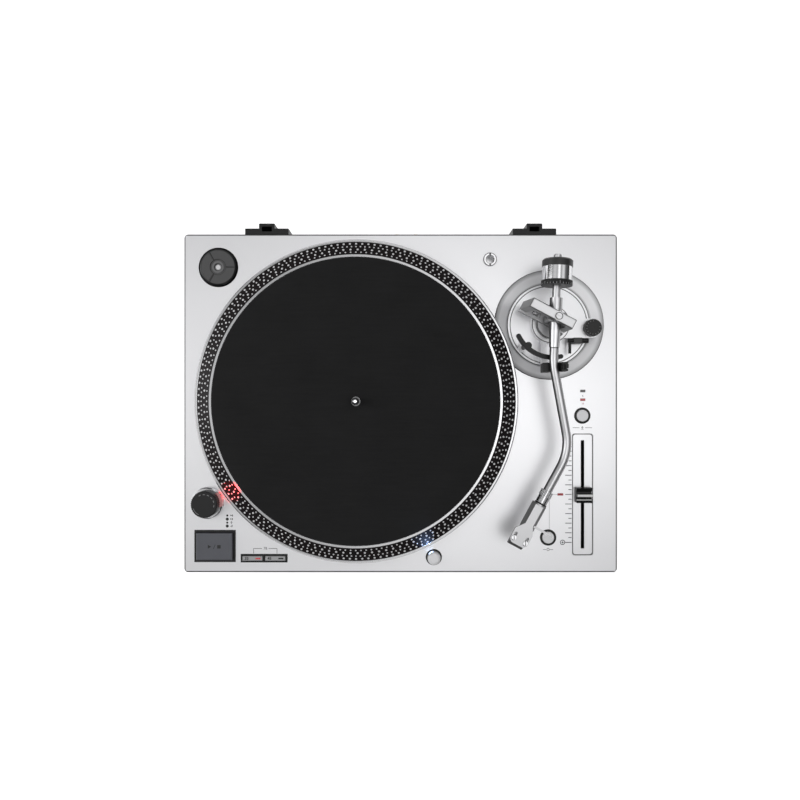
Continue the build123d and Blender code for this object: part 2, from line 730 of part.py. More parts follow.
with BuildPart() as ground_post:
    with BuildSketch(rearward(GROUND_X, PANEL_Z, panel_face)):
        Circle(GROUND_BASE_R)
    extrude(amount=SCREW_HEAD)
    with BuildSketch(rearward(GROUND_X, PANEL_Z, panel_face)):
        Circle(GROUND_R)
    extrude(amount=GROUND_LENGTH)
    with BuildSketch(rearward(GROUND_X, PANEL_Z, panel_face)):
        Circle(JACK_STUB_R)
    extrude(amount=-JACK_STUB)

with BuildPart() as ground_nut:
    with BuildSketch(rearward(GROUND_X, PANEL_Z, panel_face + SCREW_HEAD + FIT)):
        Circle(NUT_R)
        with PolarLocations(NUT_R + FINE_FLUTE[0], NUT_GRIPS):
            Circle(FINE_FLUTE[1], mode=Mode.SUBTRACT)
        Circle(GROUND_R + RUNNING, mode=Mode.SUBTRACT)
    extrude(amount=NUT_LENGTH)

with BuildPart() as usb_socket:
    with BuildSketch(rearward(USB_X, PANEL_Z, panel_face + USB_OUT)):
        Rectangle(*USB_SIZE)
    extrude(amount=-USB_DEEP)
    with BuildSketch(rearward(USB_X, PANEL_Z, panel_face + USB_OUT)):
        Rectangle(USB_SIZE[0] - 2 * USB_WALL, USB_SIZE[1] - 2 * USB_WALL)
        Rectangle(*USB_TONGUE, mode=Mode.SUBTRACT)
    extrude(amount=-USB_DEEP + USB_WALL, mode=Mode.SUBTRACT)

with BuildPart() as dc_inlet:
    with BuildSketch(rearward(DC_X, PANEL_Z, panel_face)):
        Circle(DC_R)
    extrude(amount=DC_OUT)
    with BuildSketch(rearward(DC_X, PANEL_Z, panel_face)):
        Circle(JACK_STUB_R)
    extrude(amount=-USB_DEEP)
    with BuildSketch(rearward(DC_X, PANEL_Z, panel_face + DC_OUT)):
        Circle(DC_BORE_R)
        Circle(DC_PIN_R, mode=Mode.SUBTRACT)
    extrude(amount=-USB_DEEP + DC_OUT, mode=Mode.SUBTRACT)

with BuildPart() as gain_switch:
    with BuildSketch(rearward(GAIN_X, PANEL_Z, panel_face + SWITCH_OUT)):
        Rectangle(*SWITCH_SIZE)
    extrude(amount=-SWITCH_OUT - PANEL_THICK - SWITCH_IN)

# Motor: base plate under the deck, bearing sleeve, stator core and coils
with BuildPart() as motor_base:
    with BuildSketch(deck(SPINDLE_X, SPINDLE_Y, -DECK_THICK)):
        Circle(MOTOR_FLANGE_R)
    extrude(amount=-MOTOR_FLANGE)
    with BuildSketch(deck(SPINDLE_X, SPINDLE_Y, -DECK_THICK)):
        Circle(MOTOR_SHOULDER_R)
    extrude(amount=DECK_THICK + CORE_LOW)
    with BuildSketch(deck(SPINDLE_X, SPINDLE_Y, CORE_LOW)):
        Circle(CORE_BORE_R - FIT)
    extrude(amount=CORE_THICK)
    with BuildSketch(deck(SPINDLE_X, SPINDLE_Y, -HOUSING_DEPTH - HOUSING_FLOOR)):
        Circle(HOUSING_R)
    extrude(amount=HOUSING_DEPTH)
    with BuildSketch(deck(SPINDLE_X, SPINDLE_Y, -HOUSING_DEPTH)):
        Circle(SLEEVE_R + FIT)
    extrude(amount=HOUSING_DEPTH + CORE_LOW + CORE_THICK, mode=Mode.SUBTRACT)

with BuildPart() as bearing_sleeve:
    with BuildSketch(deck(SPINDLE_X, SPINDLE_Y, -HOUSING_DEPTH)):
        Circle(SLEEVE_R)
        Circle(SHAFT_R + RUNNING, mode=Mode.SUBTRACT)
    extrude(amount=HOUSING_DEPTH + SLEEVE_TOP)

with BuildPart() as stator_core:
    with BuildSketch(deck(SPINDLE_X, SPINDLE_Y, CORE_LOW)):
        Circle(CORE_RING_R)
        with PolarLocations((CORE_RING_R + TOOTH_R - TOOTH_ROOT) / 2, TEETH):
            Rectangle(TOOTH_R - CORE_RING_R + TOOTH_ROOT, TOOTH_WIDTH)
        with PolarLocations(TOOTH_R, TEETH):
            Rectangle(*TOOTH_TIP)
        Circle(CORE_BORE_R, mode=Mode.SUBTRACT)
    extrude(amount=CORE_THICK)

with BuildPart() as stator_coils:
    coil_length = COIL_OUTER_R - COIL_INNER_R
    with BuildSketch(deck(SPINDLE_X, SPINDLE_Y, CORE_LOW - COIL_BUILD)):
        with PolarLocations((COIL_INNER_R + COIL_OUTER_R) / 2, TEETH):
            Rectangle(coil_length, TOOTH_WIDTH + 2 * COIL_BUILD)
    extrude(amount=CORE_THICK + 2 * COIL_BUILD)
    with BuildSketch(deck(SPINDLE_X, SPINDLE_Y, CORE_LOW - FIT)):
        with PolarLocations((COIL_INNER_R + COIL_OUTER_R) / 2, TEETH):
            Rectangle(coil_length + 2 * FIT, TOOTH_WIDTH + 2 * FIT)
    extrude(amount=CORE_THICK + 2 * FIT, mode=Mode.SUBTRACT)

# Platter with a strobe cone on its rim, ribs and finger holes, and what turns with it
with BuildPart() as platter:
    with BuildSketch(upright(SPINDLE_X, SPINDLE_Y)):
        Polygon(
            (HUB_R + FIT, WEB_UNDER),
            (HUB_R + FIT, MAT_BED),
            (LIP_R, MAT_BED),
            (LIP_R, PLATTER_TOP),
            (CONE_INNER_R, PLATTER_TOP),
            (CONE_OUTER_R, RIM_EDGE),
            (PLATTER_R - RIM_BEVEL, RIM_EDGE),
            (PLATTER_R, RIM_EDGE - RIM_BEVEL),
            (PLATTER_R, PLATTER_FLOAT),
            (RIM_INNER_R, PLATTER_FLOAT),
            (RIM_INNER_R - RIM_FILL[1], WEB_UNDER - RIM_FILL[1]),
            (RIM_INNER_R - RIM_FILL[0], WEB_UNDER),
        )
    revolve(axis=axis_at(SPINDLE_X, SPINDLE_Y))
    with BuildSketch(deck(SPINDLE_X, SPINDLE_Y, WEB_UNDER)):
        with PolarLocations((RIB_INNER_R + RIM_INNER_R) / 2, RIBS):
            Rectangle(RIM_INNER_R - RIB_INNER_R, RIB_THICK)
    extrude(amount=-RIB_DEPTH)
    with BuildSketch(deck(SPINDLE_X, SPINDLE_Y, MAT_BED)):
        with PolarLocations(FINGER_HOLE_AT, 2, start_angle=180 / RIBS):
            Circle(FINGER_HOLE_R)
    extrude(amount=WEB_UNDER - MAT_BED, mode=Mode.SUBTRACT)

with BuildPart() as slipmat:
    with BuildSketch(deck(SPINDLE_X, SPINDLE_Y, MAT_BED)):
        Circle(MAT_R)
        Circle(SPINDLE_R + MAT_HOLE_CLEAR, mode=Mode.SUBTRACT)
    extrude(amount=MAT_THICK)

with BuildPart() as rotor_magnet:
    with BuildSketch(deck(SPINDLE_X, SPINDLE_Y, MAGNET_LOW)):
        Circle(MAGNET_OUTER_R)
        Circle(MAGNET_INNER_R, mode=Mode.SUBTRACT)
    extrude(amount=WEB_UNDER - MAGNET_LOW)

with BuildPart() as spindle:
    with BuildSketch(deck(SPINDLE_X, SPINDLE_Y, -HOUSING_DEPTH + SLIDE)):
        Circle(SHAFT_R)
    extrude(amount=HOUSING_DEPTH - SLIDE + WEB_UNDER)
    with BuildSketch(deck(SPINDLE_X, SPINDLE_Y, WEB_UNDER)):
        Circle(HUB_FLANGE_R)
    extrude(amount=-HUB_FLANGE)
    with BuildSketch(deck(SPINDLE_X, SPINDLE_Y, WEB_UNDER)):
        Circle(HUB_R)
    extrude(amount=MAT_BED - WEB_UNDER)
    with BuildSketch(deck(SPINDLE_X, SPINDLE_Y, WEB_UNDER)):
        Circle(SPINDLE_R)
    extrude(amount=SPINDLE_TOP - WEB_UNDER)
    fillet(spindle.faces().sort_by(Axis.Z)[-1].edges(), SPINDLE_ROUND)

# 45 rpm adapter, a loose puck that lifts out of its well
with BuildPart() as adapter_45:
    adapter_top = ADAPTER_THICK - WELL_DEPTH
    with BuildSketch(deck(ADAPTER_X, ADAPTER_Y, -WELL_DEPTH)):
        Circle(ADAPTER_R)
    extrude(amount=ADAPTER_THICK)
    chamfer(adapter_45.faces().sort_by(Axis.Z)[-1].edges(), ADAPTER_EDGE)
    with BuildSketch(deck(ADAPTER_X, ADAPTER_Y, adapter_top)):
        with PolarLocations(ADAPTER_GROOVE_AT, 3):
            Rectangle(*ADAPTER_GROOVE)
    extrude(amount=-ADAPTER_HUB_STEP, mode=Mode.SUBTRACT)
    with BuildSketch(deck(ADAPTER_X, ADAPTER_Y, adapter_top)):
        Circle(ADAPTER_HUB_R)
        Circle(ADAPTER_HUB_R - ADAPTER_HUB_RING, mode=Mode.SUBTRACT)
    extrude(amount=-ADAPTER_HUB_STEP, mode=Mode.SUBTRACT)
    with BuildSketch(deck(ADAPTER_X, ADAPTER_Y, -WELL_DEPTH)):
        Circle(SPINDLE_R + RUNNING)
    extrude(amount=ADAPTER_THICK, mode=Mode.SUBTRACT)

# Strobe pod on the deck, its red lens and the power knob on top
with BuildPart() as strobe_housing:
    with BuildSketch(deck(POD_X, POD_Y)):
        Circle(POD_R)
    extrude(amount=POD_HEIGHT)
    chamfer(strobe_housing.faces().sort_by(Axis.Z)[-1].edges(), KNOB_EDGE)
    with BuildSketch(deck(POD_X, POD_Y)):
        Circle(POD_STEM_R)
    extrude(amount=-POD_STEM)
    with BuildSketch(deck(POD_X, POD_Y, LENS_LOW, LENS_TURN)):
        with Locations((LENS_INNER_R + POD_R / 2, 0)):
            Rectangle(POD_R, LENS_WIDTH)
    extrude(amount=POD_HEIGHT, mode=Mode.SUBTRACT)
    with BuildSketch(deck(POD_X, POD_Y, -POD_STEM)):
        Circle(POD_BORE_R)
    extrude(amount=POD_STEM + POD_HEIGHT, mode=Mode.SUBTRACT)

with BuildPart() as strobe_lens:
    with BuildSketch(deck(POD_X, POD_Y, LENS_LOW, LENS_TURN)):
        Circle(POD_R)
        with Locations((LENS_INNER_R + FIT + POD_R / 2, 0)):
            Rectangle(POD_R, LENS_WIDTH - 2 * FIT, mode=Mode.INTERSECT)
    extrude(amount=POD_HEIGHT - LENS_LOW - FIT)

with BuildPart() as power_knob:
    with BuildSketch(deck(POD_X, POD_Y, POD_HEIGHT + SLIDE)):
        Circle(KNOB_R)
        with PolarLocations(KNOB_R + KNOB_FLUTE[0], KNOB_GRIPS):
            Circle(KNOB_FLUTE[1], mode=Mode.SUBTRACT)
    extrude(amount=KNOB_TOP - POD_HEIGHT - SLIDE - KNOB_EDGE)
    with BuildSketch(deck(POD_X, POD_Y, KNOB_TOP - KNOB_EDGE)):
        Circle(KNOB_R - KNOB_STEP)
    extrude(amount=KNOB_EDGE)
    fillet(power_knob.faces().sort_by(Axis.Z)[-1].edges(), KNOB_ROUND)
    with BuildSketch(deck(POD_X, POD_Y, POD_HEIGHT + SLIDE)):
        Circle(POD_BORE_R - RUNNING)
    extrude(amount=-POD_STEM)

# Start/stop and speed buttons in their bezels
with BuildPart() as start_stop_bezel:
    with BuildSketch(deck(*START_AT, -BEZEL_DEPTH)):
        Rectangle(*START_BEZEL)
    extrude(amount=BEZEL_DEPTH + BEZEL_TOP)
    with BuildSketch(deck(*START_AT, -BEZEL_DEPTH + BEZEL_FLOOR)):
        Rectangle(START_BUTTON[0] + 2 * SLIDE, START_BUTTON[1] + 2 * SLIDE)
    extrude(amount=BEZEL_DEPTH + BEZEL_TOP, mode=Mode.SUBTRACT)

with BuildPart() as start_stop_button:
    with BuildSketch(deck(*START_AT, -BUTTON_SKIRT)):
        Rectangle(*START_BUTTON)
    extrude(amount=BUTTON_SKIRT + START_TOP)
    fillet(start_stop_button.faces().sort_by(Axis.Z)[-1].edges(), KNOB_EDGE)

with BuildPart() as speed_bezel:
    with BuildSketch(deck(*SPEED_AT, -BEZEL_DEPTH)):
        Rectangle(*SPEED_BEZEL)
    extrude(amount=BEZEL_DEPTH + BEZEL_TOP)
    with BuildSketch(deck(0, 0, -BEZEL_DEPTH + BEZEL_FLOOR)):
        with Locations(*speed_buttons_at):
            Rectangle(SPEED_BUTTON[0] + 2 * SLIDE, SPEED_BUTTON[1] + 2 * SLIDE)
    extrude(amount=BEZEL_DEPTH + BEZEL_TOP, mode=Mode.SUBTRACT)

speed_buttons = {}
for speed_name, speed_at in zip(("speed_button_33", "speed_button_45"), speed_buttons_at):
    with BuildPart() as speed_button:
        with BuildSketch(deck(*speed_at, -BUTTON_SKIRT)):
            Rectangle(*SPEED_BUTTON)
        extrude(amount=BUTTON_SKIRT + SPEED_TOP)
        fillet(speed_button.faces().sort_by(Axis.Z)[-1].edges(), SPEED_EDGE)
    speed_buttons[speed_name] = speed_button

# Round bezels: the tempo and quartz buttons and the target lamp's cup
with BuildPart() as control_bezels:
    with BuildSketch(deck(0, 0, -BEZEL_DEPTH)):
        with Locations(TEMPO_AT, QUARTZ_AT):
            Circle(ROUND_BEZEL_R)
    extrude(amount=BEZEL_DEPTH + BEZEL_TOP)
    with BuildSketch(deck(*LAMP_AT, -LAMP_CUP)):
        Circle(LAMP_RING_R)
    extrude(amount=LAMP_CUP + BEZEL_TOP)
    with BuildSketch(deck(0, 0, -BEZEL_DEPTH + BEZEL_FLOOR)):
        with Locations(TEMPO_AT, QUARTZ_AT):
            Circle(ROUND_BUTTON_R + SLIDE)
    extrude(amount=BEZEL_DEPTH + BEZEL_TOP, mode=Mode.SUBTRACT)
    with BuildSketch(deck(*LAMP_AT, -LAMP_CUP + BEZEL_FLOOR)):
        Circle(LAMP_R + SLIDE)
    extrude(amount=LAMP_CUP + BEZEL_TOP, mode=Mode.SUBTRACT)

round_buttons = {}
for round_name, round_at in (("tempo_button", TEMPO_AT), ("quartz_button", QUARTZ_AT)):
    with BuildPart() as round_button:
        with BuildSketch(deck(*round_at, -BUTTON_SKIRT)):
            Circle(ROUND_BUTTON_R)
        extrude(amount=BUTTON_SKIRT + ROUND_TOP)
        fillet(round_button.faces().sort_by(Axis.Z)[-1].edges(), ROUND_EDGE)
    round_buttons[round_name] = round_button

with BuildPart() as range_leds:
    with BuildSketch(deck(0, 0, LED_TOP)):
        with Locations(*LED_AT):
            Rectangle(*LED_SIZE)
    extrude(amount=-LED_DEPTH)

with BuildPart() as target_lamp:
    with BuildSketch(deck(*LAMP_AT, -LAMP_DEPTH)):
        Circle(LAMP_R)
    extrude(amount=LAMP_DEPTH + LAMP_UP)
    fillet(target_lamp.faces().sort_by(Axis.Z)[-1].edges(), LAMP_ROUND)
    with BuildSketch(deck(*LAMP_AT, LAMP_WINDOW_AT - LAMP_WINDOW[1] / 2, LAMP_TURN)):
        with Locations((LAMP_R, 0)):
            Rectangle(2 * LAMP_WINDOW_DEEP, LAMP_WINDOW[0])
    extrude(amount=LAMP_WINDOW[1], mode=Mode.SUBTRACT)

# Pitch fader: panel let into the deck, the unit under it and the sliding knob
with BuildPart() as fader_panel:
    with BuildSketch(deck(*FADER_AT, -FADER_POCKET)):
        RectangleRounded(*FADER_PANEL, FADER_CORNER)
        Rectangle(*FADER_SLOT, mode=Mode.SUBTRACT)
    extrude(amount=FADER_PLATE)

with BuildPart() as fader_unit:
    with BuildSketch(deck(*FADER_AT, -DECK_THICK)):
        Rectangle(*FADER_UNIT)
    extrude(amount=-FADER_UNIT_DEEP)
    with BuildSketch(deck(*FADER_AT, -DECK_THICK)):
        Rectangle(*FADER_SLOT)
    extrude(amount=-FADER_UNIT_DEEP + FADER_FLOOR, mode=Mode.SUBTRACT)

with BuildPart() as pitch_fader:
    with BuildSketch(deck(*FADER_AT, FADER_STEM_END)):
        Rectangle(*FADER_STEM)
    extrude(amount=FADER_KNOB_EDGE - FADER_STEM_END)
    knob_low = FADER_PLATE - FADER_POCKET + FADER_KNOB_GAP
    with BuildSketch(across(FADER_AT[0] - FADER_KNOB[0] / 2, FADER_AT[1], 0)):
        Polygon(
            (-FADER_KNOB[1] / 2, knob_low),
            (FADER_KNOB[1] / 2, knob_low),
            (FADER_KNOB[1] / 2, FADER_KNOB_EDGE + FADER_KNOB_DIP),
            (FADER_DIP_HALF, FADER_KNOB_EDGE),
            (FADER_RIDGE_HALF[0], FADER_KNOB_EDGE),
            (FADER_RIDGE_HALF[1], FADER_KNOB_TOP),
            (-FADER_RIDGE_HALF[1], FADER_KNOB_TOP),
            (-FADER_RIDGE_HALF[0], FADER_KNOB_EDGE),
            (-FADER_DIP_HALF, FADER_KNOB_EDGE),
            (-FADER_KNOB[1] / 2, FADER_KNOB_EDGE + FADER_KNOB_DIP),
        )
    extrude(amount=FADER_KNOB[0])

# Store for a spare headshell, a socket with a key notch
with BuildPart() as headshell_store:
    with BuildSketch(deck(*STORE_AT)):
        Circle(STORE_FLANGE_R)
    extrude(amount=STORE_FLANGE)
    with BuildSketch(deck(*STORE_AT)):
        Circle(STORE_R)
    extrude(amount=-STORE_LENGTH)
    with BuildSketch(deck(*STORE_AT, STORE_FLANGE)):
        Circle(STORE_BORE_R)
    extrude(amount=-STORE_BORE - STORE_FLANGE, mode=Mode.SUBTRACT)
    with BuildSketch(deck(*STORE_AT, STORE_FLANGE)):
        with Locations((0, STORE_BORE_R)):
            Rectangle(*STORE_NOTCH)
    extrude(amount=-STORE_FLANGE, mode=Mode.SUBTRACT)

# Tonearm base: a dished ring let into the deck, and the base casting with its platform and lugs
with BuildPart() as arm_base_ring:
    with BuildSketch(upright(*BASE_AT)):
        Polygon(
            (RING_INNER_R, RING_UNDER),
            (RING_SEAT_R, RING_UNDER),
            (RING_SEAT_R, 0),
            (RING_R, 0),
            (RING_R, RING_LIP / 2),
            (RING_R - RING_LIP / 2, RING_LIP),
            (RING_INNER_R, RING_DROP),
        )
    revolve(axis=axis_at(*BASE_AT))

with BuildPart() as arm_base_plate:
    with BuildSketch(deck(*BASE_AT, RING_UNDER)):
        Circle(PLATE_FLANGE_R)
    extrude(amount=-PLATE_FLANGE)
    with BuildSketch(deck(*BASE_AT, RING_UNDER)):
        Circle(PLATE_R)
    extrude(amount=PLATE_TOP - RING_UNDER)
    with BuildSketch(deck(*BASE_AT, PLATE_TOP)):
        Circle(GROOVE_R + GROOVE_WIDTH)
        Circle(GROOVE_R, mode=Mode.SUBTRACT)
    extrude(amount=-GROOVE_DEEP, mode=Mode.SUBTRACT)
    with BuildSketch(deck(*BASE_AT, PLATE_TOP)):
        Circle(PILLAR_LOW_R)
    extrude(amount=PILLAR_STEP - PLATE_TOP)
    with BuildSketch(deck(0, 0, PLATE_TOP)):
        with Locations(((BASE_AT[0] + WING_RIB[0] / 2), WING_Y)):
            Rectangle(*WING_RIB)
    extrude(amount=WING_LOW - PLATE_TOP)
    with BuildSketch(deck(0, 0, WING_LOW)):
        with Locations(((BASE_AT[0] + SKATE_X) / 2, WING_Y)):
            Rectangle(SKATE_X - BASE_AT[0], WING_WIDTH)
        with Locations((SKATE_X, WING_Y)):
            Circle(WING_WIDTH / 2)
    extrude(amount=WING_TOP - WING_LOW)
    with BuildSketch(deck(SKATE_X, WING_Y, WING_TOP)):
        Circle(SKATE_STEM_R + RUNNING)
    extrude(amount=-SKATE_STEM - SLIDE, mode=Mode.SUBTRACT)
    with BuildSketch(deck(0, 0, REST_BAR_LOW)):
        bar_front = REST_Y - REST_DEPTH / 2
        with Locations((REST_BAR_X, (REST_BAR_REAR + bar_front) / 2)):
            Rectangle(REST_BAR_WIDTH, REST_BAR_REAR - bar_front)
    extrude(amount=REST_BAR_TOP - REST_BAR_LOW)
    with BuildSketch(deck(*lift_post_at, PLATE_TOP)):
        Circle(LIFT_BOSS_R)
    extrude(amount=LIFT_BOSS_TOP - PLATE_TOP)
    with BuildSketch(deck(*lift_post_at, RING_UNDER - PLATE_FLANGE)):
        Circle(LIFT_POST_R + RUNNING)
    extrude(amount=LIFT_BOSS_TOP - RING_UNDER + PLATE_FLANGE, mode=Mode.SUBTRACT)
    lug_rear = WING_Y - WING_WIDTH / 2
    lug_front = CUE_Y - CUE_LUG_HALF
    with BuildSketch(deck(0, 0, PLATE_TOP)):
        with Locations(((CUE_LUG[0] + CUE_LUG[1]) / 2, (lug_rear + lug_front) / 2)):
            Rectangle(CUE_LUG[1] - CUE_LUG[0], lug_rear - lug_front)
    extrude(amount=CUE_LUG_TOP - PLATE_TOP)
    with BuildSketch(across(CUE_LUG[0], CUE_Y, CUE_HEIGHT)):
        Circle(CUE_R + RUNNING)
    extrude(amount=CUE_LUG[1] - CUE_LUG[0], mode=Mode.SUBTRACT)

with BuildPart() as arm_pillar:
    with BuildSketch(deck(*BASE_AT, PILLAR_STEP)):
        Circle(PILLAR_R)
    extrude(amount=FRAME_BOTTOM - PILLAR_STEP)

with BuildPart() as antiskate_knob:
    with BuildSketch(deck(SKATE_X, WING_Y, WING_TOP + SKATE_GAP)):
        Circle(SKATE_R)
        with PolarLocations(SKATE_R + KNOB_FLUTE[0], SKATE_GRIPS):
            Circle(KNOB_FLUTE[1], mode=Mode.SUBTRACT)
    extrude(amount=SKATE_TOP - WING_TOP - SKATE_GAP)
    with BuildSketch(deck(SKATE_X, WING_Y, WING_TOP + SKATE_GAP)):
        Circle(SKATE_STEM_R)
    extrude(amount=-SKATE_STEM)

# Gimbal: a closed upright frame on the pillar, the bearing screw and the yaw carrier inside it
with BuildPart() as gimbal_frame:
    with BuildSketch(frame_side):
        Polygon(
            (FRAME_LEFT_LOW, FRAME_BOTTOM),
            (FRAME_RIGHT, FRAME_BOTTOM),
            (FRAME_RIGHT, FRAME_TOP),
            (FRAME_LEFT_HIGH, FRAME_TOP),
        )
        Polygon(
            (FRAME_LEFT_LOW + FRAME_LEFT_LEG, frame_inner_low),
            (FRAME_RIGHT - FRAME_RIGHT_LEG, frame_inner_low),
            (FRAME_RIGHT - FRAME_RIGHT_LEG, frame_inner_high),
            (FRAME_LEFT_HIGH + FRAME_LEFT_LEG, frame_inner_high),
            mode=Mode.SUBTRACT,
        )
    extrude(amount=FRAME_WIDTH / 2, both=True)
    fillet(gimbal_frame.faces().sort_by(Axis.Z)[-1].edges(), FRAME_EDGE)
    with BuildSketch(deck(PIVOT_X, PIVOT_Y, FRAME_BOTTOM, FRAME_TURN)):
        with Locations(((FRAME_LEFT_LOW + FRAME_RIGHT) / 2, -FRAME_WIDTH / 2 - FRAME_FOOT / 2)):
            Rectangle(FRAME_RIGHT - FRAME_LEFT_LOW, FRAME_FOOT)
    extrude(amount=FRAME_BAR)
    with BuildSketch(deck(PIVOT_X, PIVOT_Y, frame_inner_low, FRAME_TURN)):
        with Locations(FRAME_SLOT_AT):
            Rectangle(*FRAME_SLOT)
    extrude(amount=-FRAME_SLOT_DEEP, mode=Mode.SUBTRACT)
    with BuildSketch(deck(PIVOT_X, PIVOT_Y, frame_inner_low)):
        Circle(PIN_LOW_R + RUNNING)
    extrude(amount=-PIN_LOW - SLIDE, mode=Mode.SUBTRACT)
    with BuildSketch(deck(PIVOT_X, PIVOT_Y, FRAME_TOP)):
        Circle(SCREW_BUSH_R + FIT)
    extrude(amount=-FRAME_BAR, mode=Mode.SUBTRACT)

with BuildPart() as pivot_screw:
    with BuildSketch(deck(PIVOT_X, PIVOT_Y, frame_inner_high)):
        Circle(SCREW_BUSH_R)
    extrude(amount=FRAME_BAR)
    with BuildSketch(deck(PIVOT_X, PIVOT_Y, FRAME_TOP)):
        Circle(SCREW_NUT_R)
    extrude(amount=SCREW_NUT)
    with BuildSketch(deck(PIVOT_X, PIVOT_Y, FRAME_TOP + SCREW_NUT)):
        Circle(SCREW_TIP_R)
        Rectangle(*SCREW_SLOT, rotation=FRAME_TURN, mode=Mode.SUBTRACT)
    extrude(amount=SCREW_TIP)
    with BuildSketch(deck(PIVOT_X, PIVOT_Y, frame_inner_high)):
        Circle(PIN_TOP_R + RUNNING)
    extrude(amount=PIN_TOP, mode=Mode.SUBTRACT)

with BuildPart() as yaw_carrier:
    carrier_top = frame_inner_high - CARRIER_GAP
    with BuildSketch(deck(PIVOT_X, PIVOT_Y, CARRIER_LOW, ARM_TURN)):
        RectangleRounded(*CARRIER, CARRIER_CORNER)
    extrude(amount=carrier_top - CARRIER_LOW)
    with BuildSketch(Plane(origin=arm.origin, x_dir=arm.x_dir, z_dir=-arm.y_dir)):
        RectangleRounded(*CARRIER_WINDOW, CARRIER_CORNER)
    extrude(amount=CARRIER[1], both=True, mode=Mode.SUBTRACT)
    with BuildSketch(Plane(origin=arm.origin, x_dir=arm.y_dir, z_dir=arm.x_dir)):
        Circle(AXLE_R + RUNNING)
    extrude(amount=CARRIER[0], both=True, mode=Mode.SUBTRACT)
    with BuildSketch(deck(PIVOT_X, PIVOT_Y, CARRIER_LOW)):
        Circle(CARRIER_STEM_R)
    extrude(amount=frame_inner_low + CARRIER_GAP - CARRIER_LOW)
    with BuildSketch(deck(PIVOT_X, PIVOT_Y, frame_inner_low + CARRIER_GAP)):
        Circle(PIN_LOW_R)
    extrude(amount=-PIN_LOW)
    with BuildSketch(deck(PIVOT_X, PIVOT_Y, carrier_top)):
        Circle(PIN_TOP_R)
    extrude(amount=PIN_TOP)

# Arm: the S-shaped tube with its sleeve, rear collar, weight shaft and cross axle
with BuildPart() as arm_tube:
    with BuildLine(arm) as tube_path:
        FilletPolyline((0, TUBE_START), *TUBE_BENDS, tube_tip, radius=TUBE_BEND_R)
    with BuildSketch(Plane(origin=tube_path.line @ 0, z_dir=tube_path.line % 0)):
        Circle(TUBE_R)
    sweep(path=tube_path.line)
    with BuildSketch(arm):
        Polygon(
            (0, ARM_SLEEVE_FRONT),
            (ARM_SLEEVE_NOSE_R, ARM_SLEEVE_FRONT),
            (ARM_SLEEVE_R, ARM_SLEEVE_TAPER),
            (ARM_SLEEVE_R, ARM_COLLAR[0]),
            (ARM_COLLAR_R, ARM_COLLAR[0]),
            (ARM_COLLAR_R, ARM_COLLAR[1]),
            (REAR_SHAFT_R, ARM_COLLAR[1]),
            (REAR_SHAFT_R, REAR_SHAFT_END - REAR_SHAFT_DOME),
            (REAR_SHAFT_NOSE[0], REAR_SHAFT_END - REAR_SHAFT_NOSE[1]),
            (0, REAR_SHAFT_END),
        )
    revolve(axis=arm_axis)
    with BuildSketch(Plane(origin=arm.origin, x_dir=arm.y_dir, z_dir=arm.x_dir)):
        Circle(AXLE_R)
    extrude(amount=CARRIER[0] / 2 - AXLE_SHORT, both=True)

with BuildPart() as weight_dial:
    with BuildSketch(arm_back.offset(DIAL_FRONT)):
        Circle(DIAL_R)
        with PolarLocations(DIAL_R + KNOB_FLUTE[0], DIAL_GRIPS):
            Circle(KNOB_FLUTE[1], mode=Mode.SUBTRACT)
        Circle(WEIGHT_HUB_R + RUNNING, mode=Mode.SUBTRACT)
    extrude(amount=DIAL_LENGTH)

with BuildPart() as counterweight:
    with BuildSketch(arm_back.offset(DIAL_FRONT)):
        Circle(WEIGHT_HUB_R)
    extrude(amount=DIAL_LENGTH + WEIGHT_GAP)
    with BuildSketch(arm_back.offset(weight_front)):
        Circle(WEIGHT_R)
    extrude(amount=WEIGHT_LENGTH)
    with BuildSketch(arm_back.offset(weight_front + WEIGHT_LENGTH)):
        Circle(WEIGHT_CAP_R)
    extrude(amount=WEIGHT_CAP)
    chamfer(counterweight.edges().filter_by(GeomType.CIRCLE).sort_by(arm_axis)[-1], WEIGHT_EDGE)
    with BuildSketch(arm_back.offset(DIAL_FRONT)):
        Circle(REAR_SHAFT_R + RUNNING)
    extrude(amount=REAR_SHAFT_END, mode=Mode.SUBTRACT)

with BuildPart() as lock_collar:
    with BuildSketch(head_ahead):
        Circle(COLLAR_R)
        with PolarLocations(COLLAR_R + FINE_FLUTE[0], COLLAR_GRIPS):
            Circle(FINE_FLUTE[1], mode=Mode.SUBTRACT)
    extrude(amount=COLLAR_GRIP)
    with BuildSketch(head_ahead.offset(COLLAR_GRIP)):
        Circle(COLLAR_R - COLLAR_STEP)
    extrude(amount=COLLAR_LENGTH - COLLAR_GRIP)
    with BuildSketch(head_ahead):
        Circle(TUBE_R + RUNNING)
    extrude(amount=COLLAR_LENGTH, mode=Mode.SUBTRACT)

